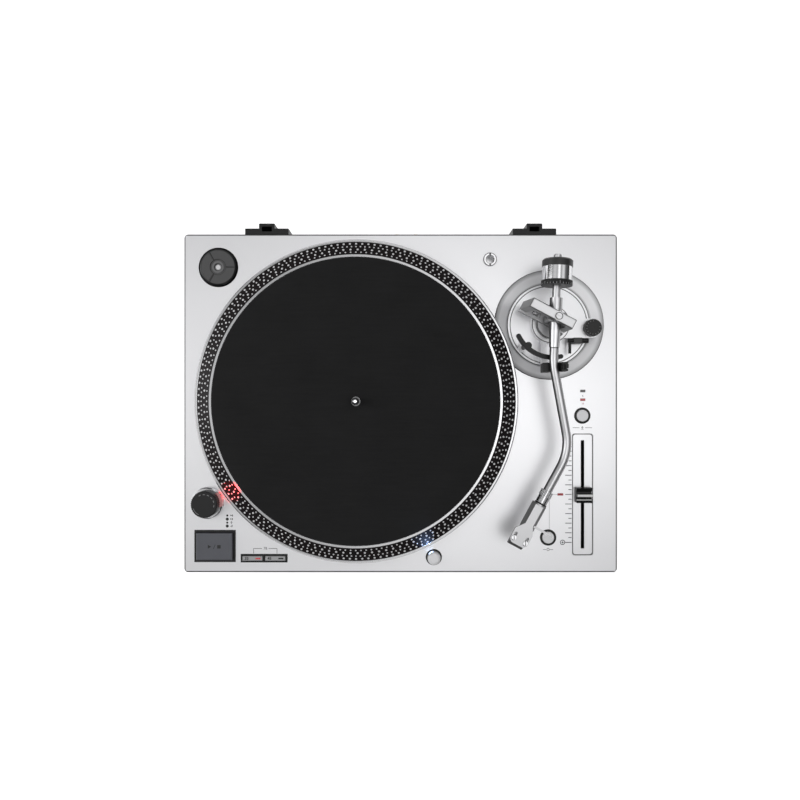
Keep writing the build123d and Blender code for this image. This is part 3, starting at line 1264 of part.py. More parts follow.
# Headshell: plug, neck with sloped sides, flat head with its screw slots, and the finger lift
with BuildPart() as headshell:
    with BuildSketch(head_ahead.offset(TUBE_IN_COLLAR)):
        Circle(PLUG_R)
    extrude(amount=shell_start - TUBE_IN_COLLAR)
    with BuildSketch(head_ahead.offset(shell_start)):
        Circle(SHELL_BOSS_R)
    extrude(amount=SHELL_BOSS)
    neck_start = shell_start + SHELL_WASHER
    neck_end = shell_start + SHELL_NECK_END
    head_start = shell_start + SHELL_HEAD_START
    shell_front = shell_start + SHELL_LENGTH
    head_edge = SHELL_HEAD / 2
    with BuildSketch(head.offset(SHELL_UNDER)):
        Polygon(
            (neck_start, SHELL_NECK_TOP / 2),
            (neck_end, SHELL_NECK_TOP / 2),
            (head_start, SHELL_HEAD_SHIFT + head_edge),
            (shell_front - SHELL_CORNER, SHELL_HEAD_SHIFT + head_edge),
            (shell_front, SHELL_HEAD_SHIFT + head_edge - SHELL_CORNER),
            (shell_front, SHELL_HEAD_SHIFT - head_edge + SHELL_CORNER),
            (shell_front - SHELL_CORNER, SHELL_HEAD_SHIFT - head_edge),
            (head_start, SHELL_HEAD_SHIFT - head_edge),
            (neck_end, -SHELL_NECK_TOP / 2),
            (neck_start, -SHELL_NECK_TOP / 2),
        )
    extrude(amount=SHELL_THICK)
    plate_top = SHELL_UNDER + SHELL_THICK
    with BuildSketch(head_ahead.offset(neck_start)):
        Polygon(
            (-SHELL_NECK / 2, SHELL_NECK_LOW),
            (SHELL_NECK / 2, SHELL_NECK_LOW),
            (SHELL_NECK_TOP / 2, plate_top),
            (-SHELL_NECK_TOP / 2, plate_top),
        )
    extrude(amount=SHELL_SKIRT_END - SHELL_WASHER)
    with BuildSketch(head.offset(SHELL_UNDER)):
        with Locations((shell_start + SHELL_SLOT_AT, SHELL_HEAD_SHIFT)):
            with Locations((0, -CART_SCREWS / 2), (0, CART_SCREWS / 2)):
                SlotOverall(*SHELL_SLOT)
    extrude(amount=SHELL_THICK, mode=Mode.SUBTRACT)
    with BuildSketch(head.offset(SHELL_UNDER)):
        with Locations((shell_start + LIFT_AT, SHELL_NECK / 2 + LIFT_LENGTH / 2 - LIFT_ROOT)):
            Rectangle(LIFT_WIDTH, LIFT_LENGTH)
    extrude(amount=LIFT_THICK)

with BuildPart() as cartridge:
    cart_top = SHELL_UNDER
    with BuildSketch(head_side):
        Polygon(
            (shell_start + CART_REAR, cart_top),
            (shell_start + CART_FRONT - CART_SLOPE, cart_top),
            (shell_start + CART_FRONT, cart_top - CART_SLOPE),
            (shell_start + CART_FRONT, cart_low + STYLUS_HIGH),
            (shell_start + CART_REAR, cart_low + STYLUS_HIGH),
        )
    extrude(amount=CART_WIDTH / 2, both=True)
    with BuildSketch(head_ahead.offset(shell_start + CART_REAR)):
        with Locations((SHELL_HEAD_SHIFT, (cart_top + cart_low + STYLUS_HIGH) / 2)):
            with GridLocations(CART_PIN, CART_PIN / 2, 2, 2):
                Circle(CART_PIN_R)
    extrude(amount=-CART_PIN)
    screw_top = SHELL_UNDER + SHELL_THICK
    with BuildSketch(head.offset(cart_top)):
        with Locations((shell_start + CART_SCREW_AT, SHELL_HEAD_SHIFT)):
            with Locations((0, -CART_SCREWS / 2), (0, CART_SCREWS / 2)):
                Circle(CART_SCREW_R)
    extrude(amount=SHELL_THICK)
    with BuildSketch(head.offset(screw_top)):
        with Locations((shell_start + CART_SCREW_AT, SHELL_HEAD_SHIFT)):
            with Locations((0, -CART_SCREWS / 2), (0, CART_SCREWS / 2)):
                Circle(CART_SCREW_HEAD_R)
                Rectangle(2 * CART_SCREW_HEAD_R, SCREW_SLOT[1], rotation=CART_SCREW_TURN, mode=Mode.SUBTRACT)
    extrude(amount=CART_SCREW_HEAD)

with BuildPart() as stylus:
    with BuildSketch(head.offset(cart_low)):
        with Locations((shell_start + (STYLUS_BLOCK[0] + STYLUS_BLOCK[1]) / 2, SHELL_HEAD_SHIFT)):
            Rectangle(STYLUS_BLOCK[1] - STYLUS_BLOCK[0], STYLUS_WIDTH)
    extrude(amount=STYLUS_HIGH)
    with BuildSketch(head.offset(cart_low)):
        with Locations((shell_start + STYLUS_TIP_AT, SHELL_HEAD_SHIFT)):
            Circle(STYLUS_TIP_R)
    extrude(amount=-STYLUS_TIP, taper=STYLUS_TIP_TAPER)

# Cueing lift bar with its post, and the lever on its cross axle
lift_arc = CenterArc((0, 0), LIFT_ARC_R, LIFT_ARC_FROM, LIFT_ARC_SPAN)
with BuildPart() as lift_bar:
    with BuildSketch(deck(PIVOT_X, PIVOT_Y, lift_low)):
        SlotArc(lift_arc, LIFT_ARC_WIDTH)
    extrude(amount=LIFT_ARC_THICK)
    with BuildSketch(deck(*lift_post_at, lift_low)):
        Circle(LIFT_NUB_R)
    extrude(amount=LIFT_ARC_THICK)
    with BuildSketch(deck(*lift_post_at, LIFT_POST_END)):
        Circle(LIFT_POST_R)
    extrude(amount=lift_low - LIFT_POST_END)

with BuildPart() as cue_lever:
    handle_at = (CUE_LEFT + CUE_R, PLINTH_Y + CUE_Y, DECK_Z + CUE_HEIGHT)
    with BuildSketch(across(CUE_LEFT, CUE_Y, CUE_HEIGHT)):
        Circle(CUE_R)
    extrude(amount=CUE_RIGHT - CUE_LEFT)
    with BuildSketch(across(CUE_LUG[1] + SLIDE, CUE_Y, CUE_HEIGHT)):
        Circle(CUE_BARREL_R)
    extrude(amount=CUE_RIGHT - CUE_LUG[1] - SLIDE)
    with BuildSketch(Plane(origin=handle_at, z_dir=(0, -1, 0))):
        Circle(CUE_HANDLE_R)
    extrude(amount=CUE_HANDLE)

# Arm rest: a post with an open shelf and a tall cheek, and the clip that swings over the tube
with BuildPart() as arm_rest:
    with BuildSketch(deck(REST_BAR_X, REST_Y, REST_BAR_TOP)):
        Rectangle(REST_POST, REST_DEPTH)
    extrude(amount=rest_top - REST_BAR_TOP)
    with BuildSketch(deck((REST_LEFT + REST_RIGHT) / 2, REST_Y, rest_top)):
        Rectangle(REST_RIGHT - REST_LEFT, REST_DEPTH)
    extrude(amount=-REST_SHELF)
    with BuildSketch(deck((REST_CHEEK + REST_RIGHT) / 2, REST_Y, rest_top)):
        Rectangle(REST_RIGHT - REST_CHEEK, REST_DEPTH)
    extrude(amount=CLIP_HEIGHT + CLIP_R - rest_top)
    with BuildSketch(deck((REST_CHEEK + REST_RIGHT) / 2, REST_Y, CLIP_HEIGHT - CLIP_R - CLIP_GAP)):
        Rectangle(2 * REST_RIGHT - 2 * REST_CHEEK, REST_DEPTH - 2 * REST_EAR)
    extrude(amount=2 * (CLIP_R + CLIP_GAP), mode=Mode.SUBTRACT)
    with BuildSketch(rearward(CLIP_X, DECK_Z + CLIP_HEIGHT, REST_Y)):
        Circle(CLIP_PIN_R + RUNNING)
    extrude(amount=REST_DEPTH, both=True, mode=Mode.SUBTRACT)

with BuildPart() as rest_clip:
    clip_width = REST_DEPTH - 2 * REST_EAR - 2 * CLIP_GAP
    with BuildSketch(rearward(CLIP_X, DECK_Z + CLIP_HEIGHT, REST_Y)):
        Circle(CLIP_R)
        with Locations((0, CLIP_LENGTH / 2)):
            Rectangle(CLIP_R, CLIP_LENGTH)
    extrude(amount=clip_width / 2, both=True)
    with BuildSketch(rearward(CLIP_X, DECK_Z + CLIP_HEIGHT, REST_Y)):
        Circle(CLIP_PIN_R)
    extrude(amount=REST_DEPTH / 2 - SLIDE, both=True)

pieces = {
    "plinth_shell": plinth_shell,
    "base_tray": base_tray,
    "tray_screws": tray_screws,
    "circuit_boards": circuit_boards,
    "hinge_sockets": hinge_sockets,
    "rear_panel": rear_panel,
    "rca_jacks": rca_jacks,
    "ground_post": ground_post,
    "ground_nut": ground_nut,
    "usb_socket": usb_socket,
    "dc_inlet": dc_inlet,
    "gain_switch": gain_switch,
    "motor_base": motor_base,
    "bearing_sleeve": bearing_sleeve,
    "stator_core": stator_core,
    "stator_coils": stator_coils,
    "platter": platter,
    "slipmat": slipmat,
    "rotor_magnet": rotor_magnet,
    "spindle": spindle,
    "adapter_45": adapter_45,
    "strobe_housing": strobe_housing,
    "strobe_lens": strobe_lens,
    "power_knob": power_knob,
    "start_stop_bezel": start_stop_bezel,
    "start_stop_button": start_stop_button,
    "speed_bezel": speed_bezel,
    "control_bezels": control_bezels,
    "range_leds": range_leds,
    "target_lamp": target_lamp,
    "fader_panel": fader_panel,
    "fader_unit": fader_unit,
    "pitch_fader": pitch_fader,
    "headshell_store": headshell_store,
    "arm_base_ring": arm_base_ring,
    "arm_base_plate": arm_base_plate,
    "arm_pillar": arm_pillar,
    "antiskate_knob": antiskate_knob,
    "gimbal_frame": gimbal_frame,
    "pivot_screw": pivot_screw,
    "yaw_carrier": yaw_carrier,
    "arm_tube": arm_tube,
    "weight_dial": weight_dial,
    "counterweight": counterweight,
    "lock_collar": lock_collar,
    "headshell": headshell,
    "cartridge": cartridge,
    "stylus": stylus,
    "lift_bar": lift_bar,
    "cue_lever": cue_lever,
    "arm_rest": arm_rest,
    "rest_clip": rest_clip,
    **feet,
    **speed_buttons,
    **round_buttons,
}

os.makedirs("parts", exist_ok=True)
for piece_name, piece in pieces.items():
    piece.part.label = piece_name
    export_step(piece.part, f"parts/{piece_name}.step")
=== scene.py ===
import math

import bmesh
import bpy
from mathutils import Matrix, Vector


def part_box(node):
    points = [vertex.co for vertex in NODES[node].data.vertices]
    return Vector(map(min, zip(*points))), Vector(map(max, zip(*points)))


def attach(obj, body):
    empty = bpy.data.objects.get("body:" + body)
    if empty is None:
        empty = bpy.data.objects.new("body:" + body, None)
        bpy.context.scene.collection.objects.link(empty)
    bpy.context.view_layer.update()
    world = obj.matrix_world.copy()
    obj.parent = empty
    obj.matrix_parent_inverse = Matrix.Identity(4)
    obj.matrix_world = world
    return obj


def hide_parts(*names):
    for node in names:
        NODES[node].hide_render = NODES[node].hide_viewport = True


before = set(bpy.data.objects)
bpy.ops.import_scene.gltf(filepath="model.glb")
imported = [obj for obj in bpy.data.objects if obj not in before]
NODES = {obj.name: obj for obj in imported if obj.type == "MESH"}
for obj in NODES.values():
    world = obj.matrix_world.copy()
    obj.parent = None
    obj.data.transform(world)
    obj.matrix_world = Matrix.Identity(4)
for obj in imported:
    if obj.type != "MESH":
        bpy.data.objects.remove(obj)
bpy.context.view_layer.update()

# Lengths are in metres, and SOFT is half the width of a step between two tones
MM = 0.001
SOFT = 0.05 * MM

# Camera: straight above, as the photograph looks at the object
CAMERA_AT = (-0.68 * MM, -2.4 * MM, 832.0 * MM)
CAMERA_LENS = 32.35
CAMERA_SENSOR = 36.0


# Where the frame's pieces are
def middle(node):
    """Plan position of the middle of a node's box."""
    low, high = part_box(node)
    return (low + high).xy / 2


def top(node):
    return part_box(node)[1].z


POST_ABOVE_DECK = 1.0 * MM
DECK = top("plinth_shell") - POST_ABOVE_DECK
INK = 0.06 * MM
PLINTH = middle("plinth_shell")
SPINDLE = middle("spindle")
POD = middle("strobe_housing")
KNOB = middle("power_knob")
ADAPTER = middle("adapter_45")
FADER = middle("fader_panel")
BASE = middle("arm_base_ring")
SKATE = middle("antiskate_knob")
LAMP = middle("target_lamp")
PIVOT = middle("pivot_screw")
STORE = middle("headshell_store")
START = middle("start_stop_button")
TEMPO = middle("tempo_button")
QUARTZ = middle("quartz_button")

# The arm: its axis, and the way to its rear and to its head
ARM_LEVEL = 126.0 * MM
ARM_REARWARD = (0.040132, 0.999194, 0.0)
HEAD_ROOT = Vector((144.045, -91.72, 126.0)) * MM
HEAD_AHEAD = Vector((-0.47716, -0.87882, 0.0))
ARM_TURN = math.radians(-2.3)
GIMBAL_TURN = math.radians(-28.0)


# Node materials
class Nodes:
    """Adds nodes to one node tree and links them."""

    def __init__(self, tree):
        self.tree = tree

    def add(self, kind, links=(), **values):
        node = self.tree.nodes.new(kind)
        for key, value in values.items():
            setattr(node, key, value)
        for socket, source in dict(links).items():
            self.feed(node.inputs[socket], source)
        return node

    def feed(self, socket, source):
        """Links an output to the socket, or sets a plain value."""
        if isinstance(source, bpy.types.NodeSocket):
            self.tree.links.new(source, socket)
        else:
            socket.default_value = source

    def math(self, operation, a, b=0.0):
        return self.add("ShaderNodeMath", {0: a, 1: b}, operation=operation).outputs[0]

    def times(self, a, b):
        return self.math("MULTIPLY", a, b)

    def spread(self, source, low, high, start=0.0, end=1.0):
        """Maps start to end of a value onto low to high."""
        links = {"Value": source, "From Min": start, "From Max": end, "To Min": low, "To Max": high}
        return self.add("ShaderNodeMapRange", links).outputs["Result"]

    def between(self, value, low, high, soft=SOFT):
        """1 where a value lies between low and high, 0 outside, with soft steps."""
        up = self.spread(value, 0.0, 1.0, low - soft, low + soft)
        down = self.spread(value, 1.0, 0.0, high - soft, high + soft)
        return self.times(up, down)

    def ramp(self, source, stops):
        """A grey ramp over stops from -1 to 1 of a value."""
        node = self.add("ShaderNodeValToRGB", {0: self.spread(source, 0.0, 1.0, -1.0, 1.0)})
        marks = node.color_ramp.elements
        while len(marks) < len(stops):
            marks.new(0.5)
        for mark, (place, value) in zip(marks, stops):
            mark.position = (place + 1) / 2
            mark.color = (value, value, value, 1)
        return node.outputs[0]


class Shader(Nodes):
    """A node material with one Principled shader, in the object's own coordinates (the row frame)."""

    def __init__(self, name, colour, metallic, roughness):
        self.material = bpy.data.materials.new(name)
        self.material.use_nodes = True
        super().__init__(self.material.node_tree)
        self.bsdf = self.tree.nodes["Principled BSDF"]
        self.set("Base Color", (*colour, 1))
        self.set("Metallic", metallic)
        self.set("Roughness", roughness)
        coordinates = self.add("ShaderNodeTexCoord").outputs
        self.place = coordinates["Object"]
        self.normal = coordinates["Normal"]

    def set(self, socket, value):
        self.bsdf.inputs[socket].default_value = value

    def drive(self, socket, source):
        self.feed(self.bsdf.inputs[socket], source)

    def noise(self, scale, detail, stretch=(1, 1, 1), place=None):
        """Noise with cells of about 1/scale metres."""
        scaled = self.add("ShaderNodeMapping", {"Vector": place or self.place, "Scale": stretch})
        links = {"Vector": scaled.outputs[0], "Scale": scale, "Detail": detail, "Roughness": 0.6}
        return self.add("ShaderNodeTexNoise", links).outputs["Fac"]

    def mix(self, share, a, b):
        """Colour a at share 0 and b at share 1."""
        node = self.add("ShaderNodeMix", data_type="RGBA")
        self.feed(node.inputs[0], share)
        self.feed(node.inputs[6], a if isinstance(a, bpy.types.NodeSocket) else (*a, 1))
        self.feed(node.inputs[7], b if isinstance(b, bpy.types.NodeSocket) else (*b, 1))
        return node.outputs[2]

    def mix_value(self, share, a, b):
        return self.add("ShaderNodeMix", {0: share, 2: a, 3: b}, data_type="FLOAT").outputs[0]

    def blend(self, a, b, share):
        """Two values added in shares that make one."""
        return self.math("ADD", self.times(a, 1 - share), self.times(b, share))

    def parts(self):
        """The object's x, y and z."""
        return self.add("ShaderNodeSeparateXYZ", {0: self.place}).outputs

    def offset(self, centre):
        """Plan distances in metres from a plan position."""
        x, y, _ = self.parts()
        return self.math("SUBTRACT", x, centre[0]), self.math("SUBTRACT", y, centre[1])

    def radius(self, centre):
        """Distance in metres from an upright axis through a plan position."""
        dx, dy = self.offset(centre)
        square = self.math("ADD", self.times(dx, dx), self.times(dy, dy))
        return self.math("SQRT", square)

    def along(self, point, direction):
        """Distance in metres from a point, along a direction."""
        away = self.add("ShaderNodeVectorMath", {0: self.place, 1: point}, operation="SUBTRACT").outputs[0]
        links = {0: away, 1: direction}
        return self.add("ShaderNodeVectorMath", links, operation="DOT_PRODUCT").outputs["Value"]

    def upward(self, start, end):
        """0 on upright faces and 1 on level ones, with the step between two heights of the normal."""
        rise = self.add("ShaderNodeSeparateXYZ", {0: self.normal}).outputs[2]
        return self.spread(self.math("ABSOLUTE", rise), 0.0, 1.0, start, end)

    def turned(self, centre, pitch):
        """Fine rings about an upright axis, as a lathe leaves."""
        ring = self.add("ShaderNodeCombineXYZ", {0: self.radius(centre)}).outputs[0]
        return self.noise(1 / pitch, 2.0, place=ring)

    def bump(self, height, strength, depth):
        node = self.add("ShaderNodeBump", {"Height": height, "Strength": strength, "Distance": depth})
        self.drive("Normal", node.outputs[0])

    def done(self, colour, roughness, height, strength, depth):
        """Sets the colour, the roughness and the bump, and gives the material."""
        self.drive("Base Color", colour)
        self.drive("Roughness", roughness)
        self.bump(height, strength, depth)
        return self.material

    def vary(self, noise, colour, share, roughness, swing):
        """Lets the colour and the roughness wander a little with the noise."""
        dark = tuple(c * (1 - share) for c in colour)
        pale = tuple(min(1.0, c * (1 + share)) for c in colour)
        self.drive("Base Color", self.mix(noise, dark, pale))
        self.drive("Roughness", self.spread(noise, roughness - swing, roughness + swing))


def tint(value, blue=1.02):
    """A neutral tone with a slight cool cast."""
    return (value, value, value * blue)


def plastic(name, colour, roughness, grain=2500.0, depth=0.05 * MM, share=0.12, shine=0.5):
    """Moulded plastic with a fine spark-eroded grain."""
    made = Shader(name, colour, 0.0, roughness)
    made.set("Specular IOR Level", shine)
    made.vary(made.noise(60.0, 4.0), colour, share, roughness, 0.06)
    made.bump(made.noise(grain, 2.0), 0.25, depth)
    return made.material


def metal(name, colour, roughness, grain=3000.0, stretch=(1, 1, 1)):
    """Metal with fine grain, drawn out along one way where it is brushed."""
    made = Shader(name, colour, 1.0, roughness)
    fine = made.noise(grain, 3.0, stretch)
    tone = made.blend(fine, made.noise(45.0, 4.0), 0.5)
    made.vary(tone, colour, 0.06, roughness, min(0.08, roughness * 0.5))
    made.bump(fine, 0.15, 0.02 * MM)
    return made.material


def shaded_metal(name, colour, sides, step, roughness, metallic=1.0):
    """Metal with painted shade on its upright faces, which are darker than its level ones."""
    made = Shader(name, colour, metallic, roughness)
    fine = made.noise(3000.0, 3.0)
    tone = made.blend(fine, made.noise(45.0, 4.0), 0.5)
    level_face = made.mix(tone, tuple(0.94 * c for c in colour), tuple(1.06 * c for c in colour))
    # Upright faces take the darker sides colour: painted shade.
    both = made.mix(made.upward(*step), sides, level_face)
    return made.done(both, made.spread(tone, roughness - 0.06, roughness + 0.06), fine, 0.15, 0.02 * MM)


def turned_metal(name, colour, centre, roughness, pitch):
    """Metal turned on a lathe about an upright axis."""
    made = Shader(name, colour, 1.0, roughness)
    rings = made.turned(centre, pitch)
    made.vary(rings, colour, 0.08, roughness, 0.06)
    made.bump(rings, 0.2, 0.03 * MM)
    return made.material


def ink(name, colour):
    """Screen-printed ink with slightly uneven cover."""
    made = Shader(name, colour, 0.0, 0.55)
    made.vary(made.noise(900.0, 3.0), colour, 0.15, 0.55, 0.1)
    return made.material


# Width and depth of the band of painted shade along the plinth's rolled edge
EDGE_SHADE_WIDE = 2.0 * MM
EDGE_SHADE_DEEP = 3.0 * MM
WELL_R = 23.0 * MM
WELL_SOFT = 0.2 * MM
WELL_SUNK = (0.35 * MM, 0.15 * MM)
WELL_POST_R = 3.5 * MM
# Where the painted highlight on the post's top fades from bright to grey
POST_HIGHLIGHT = (1.8 * MM, 3.0 * MM)


def deck_paint():
    """Silver metallic paint; its upright sides and rolled edge are darkened by painted shade, a black band
    of painted shade fills the adapter well round the post, and the post's bright middle is a painted
    highlight.
    """
    made = Shader("deck_paint", tint(0.78), 0.8, 0.38)
    fleck = made.noise(3500.0, 2.0)
    tone = made.blend(fleck, made.noise(9.0, 3.0), 0.3)
    # Upright sides take a darker tone than the top of the same paint: painted shade.
    paint = made.mix(made.upward(0.3, 0.9), tint(0.4), made.mix(tone, tint(0.70), tint(0.88)))
    low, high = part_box("plinth_shell")
    dx, dy = made.offset(PLINTH)
    height = made.parts()[2]
    half = (high - low).xy / 2
    # The top's rolled edge darkened all round: painted shade standing in for the edge's dark reflection.
    side = made.spread(made.math("ABSOLUTE", dx), 0.0, 1.0, half.x - EDGE_SHADE_WIDE, half.x - EDGE_SHADE_WIDE / 2)
    end = made.spread(made.math("ABSOLUTE", dy), 0.0, 1.0, half.y - EDGE_SHADE_WIDE, half.y - EDGE_SHADE_WIDE / 2)
    upper = made.spread(height, 0.0, 1.0, DECK - EDGE_SHADE_DEEP, DECK - EDGE_SHADE_DEEP / 2)
    edge = made.times(made.math("MAXIMUM", side, end), upper)
    edge_shaded = made.mix(edge, paint, tint(0.07))
    out = made.radius(ADAPTER)
    # Black down inside the adapter well, round the post: painted shade in the recess.
    sunk = made.spread(height, 1.0, 0.0, DECK - WELL_SUNK[0], DECK - WELL_SUNK[1])
    well = made.times(sunk, made.spread(out, 1.0, 0.0, WELL_R, WELL_R + WELL_SOFT))
    post = made.spread(out, 1.0, 0.0, WELL_POST_R - SOFT, WELL_POST_R + SOFT)
    shade_lined = made.mix(well, edge_shaded, tint(0.012))
    # The post's top bright in its middle and grey at its rim: a painted highlight.
    bright = made.mix(made.spread(out, 0.0, 1.0, *POST_HIGHLIGHT), tint(0.9), tint(0.3))
    well_shade_only = made.math("SUBTRACT", well, post)
    made.drive("Metallic", made.spread(well_shade_only, 0.8, 0.0))
    roughness = made.mix_value(post, made.spread(tone, 0.33, 0.43), 0.15)
    return made.done(made.mix(post, shade_lined, bright), roughness, fleck, 0.1, 0.02 * MM)


CONE_TOP = (148.9 * MM, 22.0 * MM)
CONE_FOOT = (163.3 * MM, 15.0 * MM)
CONE_GAP = 0.3 * MM
BAND_SOFT = 0.15 * MM
BAND_FROM = (14.6 * MM, 14.9 * MM)
RIM_FROM = (3.0 * MM, 3.4 * MM)
SPINDLE_TIP = (1.2 * MM, 2.0 * MM)


def platter_finish():
    """Cast platter: machined bright lip and rim, and a black band on the cone between them."""
    made = Shader("platter_finish", tint(0.78), 1.0, 0.22)
    made.set("Specular IOR Level", 0.15)
    rings = made.turned(SPINDLE, 0.3 * MM)
    out = made.radius(SPINDLE)
    height = made.parts()[2]
    upper = made.spread(height, 0.0, 1.0, DECK + BAND_FROM[0], DECK + BAND_FROM[1])
    cone = made.between(out, CONE_TOP[0], CONE_FOOT[0] - CONE_GAP, BAND_SOFT)
    band = made.times(cone, upper)
    under = made.spread(height, 1.0, 0.0, DECK + RIM_FROM[0], DECK + RIM_FROM[1])
    shine = made.mix(rings, tint(0.38), tint(0.52))
    cast = made.mix(under, shine, tint(0.42))
    made.drive("Metallic", made.math("SUBTRACT", 1.0, band))
    colour = made.mix(band, cast, (0.0105, 0.008, 0.0085))
    roughness = made.mix_value(band, made.spread(rings, 0.16, 0.3), 0.42)
    return made.done(colour, roughness, rings, 0.15, 0.02 * MM)


def spindle_finish():
    """Dark steel pin with a polished tip."""
    made = Shader("spindle_finish", tint(0.16), 1.0, 0.3)
    rings = made.turned(SPINDLE, 0.25 * MM)
    tip = made.spread(made.radius(SPINDLE), 1.0, 0.0, *SPINDLE_TIP)
    shaft = made.mix(rings, tint(0.12), tint(0.2))
    made.drive("Base Color", made.mix(tip, shaft, tint(0.85)))
    made.drive("Roughness", made.mix_value(tip, made.spread(rings, 0.26, 0.38), 0.12))
    return made.material


def felt():
    """Dense black felt with a loose nap and faint lines across it."""
    made = Shader("felt", tint(0.012), 0.0, 0.95)
    made.set("Sheen Weight", 0.18)
    made.set("Sheen Roughness", 0.6)
    made.set("Sheen Tint", (0.5, 0.5, 0.52, 1))
    made.set("Specular IOR Level", 0.15)
    fibre = made.noise(1400.0, 6.0)
    lines = made.noise(420.0, 4.0, (0.08, 1, 1))
    cloud = made.noise(26.0, 5.0)
    tone = made.blend(made.blend(fibre, lines, 0.45), cloud, 0.35)
    made.drive("Base Color", made.mix(tone, tint(0.005), tint(0.024)))
    made.bump(made.blend(fibre, lines, 0.4), 0.6, 0.25 * MM)
    return made.material


ADAPTER_STEP = (17.2 * MM, 17.5 * MM)
ADAPTER_LINE = (7.9 * MM, 8.4 * MM)
ADAPTER_HUB = (4.2 * MM, 6.2 * MM)
ADAPTER_GROOVE = (8.0 * MM, 19.0 * MM)
HUB_SOFT = 0.3 * MM
GROOVE_HALF = 0.45 * MM


def adapter_finish():
    """Grey adapter with dark turned steps and three dark radial grooves, all painted shade."""
    made = Shader("adapter_finish", tint(0.07), 0.0, 0.42)
    out = made.radius(ADAPTER)
    grain = made.noise(1500.0, 3.0)
    body = made.mix(grain, tint(0.055), tint(0.085))
    # Dark on the outer step, on the ring round the hub and in the three radial grooves: painted shade.
    lines = made.spread(out, 0.0, 1.0, *ADAPTER_STEP)
    lines = made.math("MAXIMUM", lines, made.between(out, *ADAPTER_LINE))
    for angle in (0.0, 120.0, 240.0):
        way = Vector((math.cos(math.radians(angle)), math.sin(math.radians(angle)), 0))
        ahead = made.between(made.along((*ADAPTER, 0.0), way), *ADAPTER_GROOVE)
        across = made.between(made.along((*ADAPTER, 0.0), (-way.y, way.x, 0)), -GROOVE_HALF, GROOVE_HALF)
        lines = made.math("MAXIMUM", lines, made.times(ahead, across))
    hub = made.between(out, *ADAPTER_HUB, HUB_SOFT)
    pale = made.mix(hub, body, tint(0.15))
    colour = made.mix(lines, pale, tint(0.006))
    return made.done(colour, made.spread(grain, 0.36, 0.5), grain, 0.2, 0.04 * MM)


def lens_red():
    """Clear strobe window, faintly lit from inside."""
    made = Shader("lens_red", (0.8, 0.35, 0.35), 0.0, 0.12)
    made.set("IOR", 1.49)
    made.set("Transmission Weight", 0.25)
    ribs = made.noise(700.0, 1.0, (1, 1, 0.05))
    made.drive("Base Color", made.mix(ribs, (0.82, 0.45, 0.45), (0.92, 0.66, 0.66)))
    made.set("Emission Color", (1.0, 0.16, 0.14, 1))
    made.drive("Emission Strength", made.spread(ribs, 0.03, 0.12))
    made.bump(ribs, 0.2, 0.1 * MM)
    return made.material


LAMP_INSIDE = (6.2 * MM, 6.6 * MM)
LAMP_WINDOW = (2.0 * MM, 6.0 * MM)


def lamp_white():
    """White lamp barrel with a blue-white glow inside its side window."""
    made = Shader("lamp_white", tint(0.86), 0.0, 0.18)
    made.set("Coat Weight", 0.4)
    made.vary(made.noise(300.0, 3.0), tint(0.84), 0.04, 0.2, 0.05)
    inside = made.spread(made.radius(LAMP), 1.0, 0.0, *LAMP_INSIDE)
    upright = made.between(made.parts()[2], DECK + LAMP_WINDOW[0], DECK + LAMP_WINDOW[1])
    window = made.times(inside, upright)
    made.set("Emission Color", (0.45, 0.65, 1.0, 1))
    made.drive("Emission Strength", made.times(window, 4.0))
    return made.material


KEY_LINE_PITCH = 0.9 * MM


def lined_button():
    """Blue-grey key face with fine moulded lines across it."""
    made = Shader("lined_button", (0.12, 0.125, 0.145), 0.25, 0.38)
    wave = made.math("SINE", made.times(made.parts()[1], 2 * math.pi / KEY_LINE_PITCH))
    line = made.spread(wave, 0.0, 1.0, -1.0, 1.0)
    tone = made.blend(line, made.noise(35.0, 3.0), 0.5)
    colour = made.mix(tone, (0.08, 0.083, 0.096), (0.14, 0.145, 0.165))
    return made.done(colour, made.spread(line, 0.3, 0.45), line, 0.3, 0.08 * MM)


SLEEVE_END = -29.0 * MM
SLEEVE_LINE = 0.5 * MM


def tube_finish():
    """Satin arm tube, darkened down its sides by painted shade, with a paler sleeve at the pivot and a dark
    line of painted shade at its end.
    """
    made = Shader("tube_finish", tint(0.52), 1.0, 0.32)
    fine = made.noise(3000.0, 3.0)
    rear = made.along((*PIVOT, 0.0), ARM_REARWARD)
    sleeve = made.spread(rear, 0.0, 1.0, SLEEVE_END - SLEEVE_LINE, SLEEVE_END)
    # A dark line at the sleeve's end: painted shade at the step.
    line = made.between(rear, SLEEVE_END - 2 * SLEEVE_LINE, SLEEVE_END)
    pale = made.mix(sleeve, made.mix(fine, tint(0.48), tint(0.56)), made.mix(fine, tint(0.6), tint(0.68)))
    # Upright faces down the tube's sides darkened: painted shade.
    body = made.mix(made.upward(0.3, 0.85), tint(0.07), pale)
    return made.done(made.mix(line, body, tint(0.12)), made.spread(fine, 0.27, 0.37), fine, 0.15, 0.02 * MM)


HUB_END = 36.6 * MM
CAP_START = 49.8 * MM
WEIGHT_SOFT = 0.08 * MM


def weight_finish():
    """Chromed weight with a black hub in front and a black ribbed cap behind, along the arm's axis."""
    made = Shader("weight_finish", tint(0.8), 1.0, 0.08)
    rear = made.along((*PIVOT, 0.0), ARM_REARWARD)
    shell = made.between(rear, HUB_END, CAP_START, WEIGHT_SOFT)
    rings = made.noise(2500.0, 2.0, (0.05, 1, 0.05))
    shine = made.mix(rings, tint(0.66), tint(0.8))
    made.drive("Metallic", shell)
    rough = made.times(made.math("SUBTRACT", 1.0, shell), made.noise(2200.0, 2.0))
    colour = made.mix(shell, tint(0.018), shine)
    roughness = made.mix_value(shell, 0.42, made.spread(rings, 0.06, 0.14))
    return made.done(colour, roughness, rough, 0.3, 0.06 * MM)


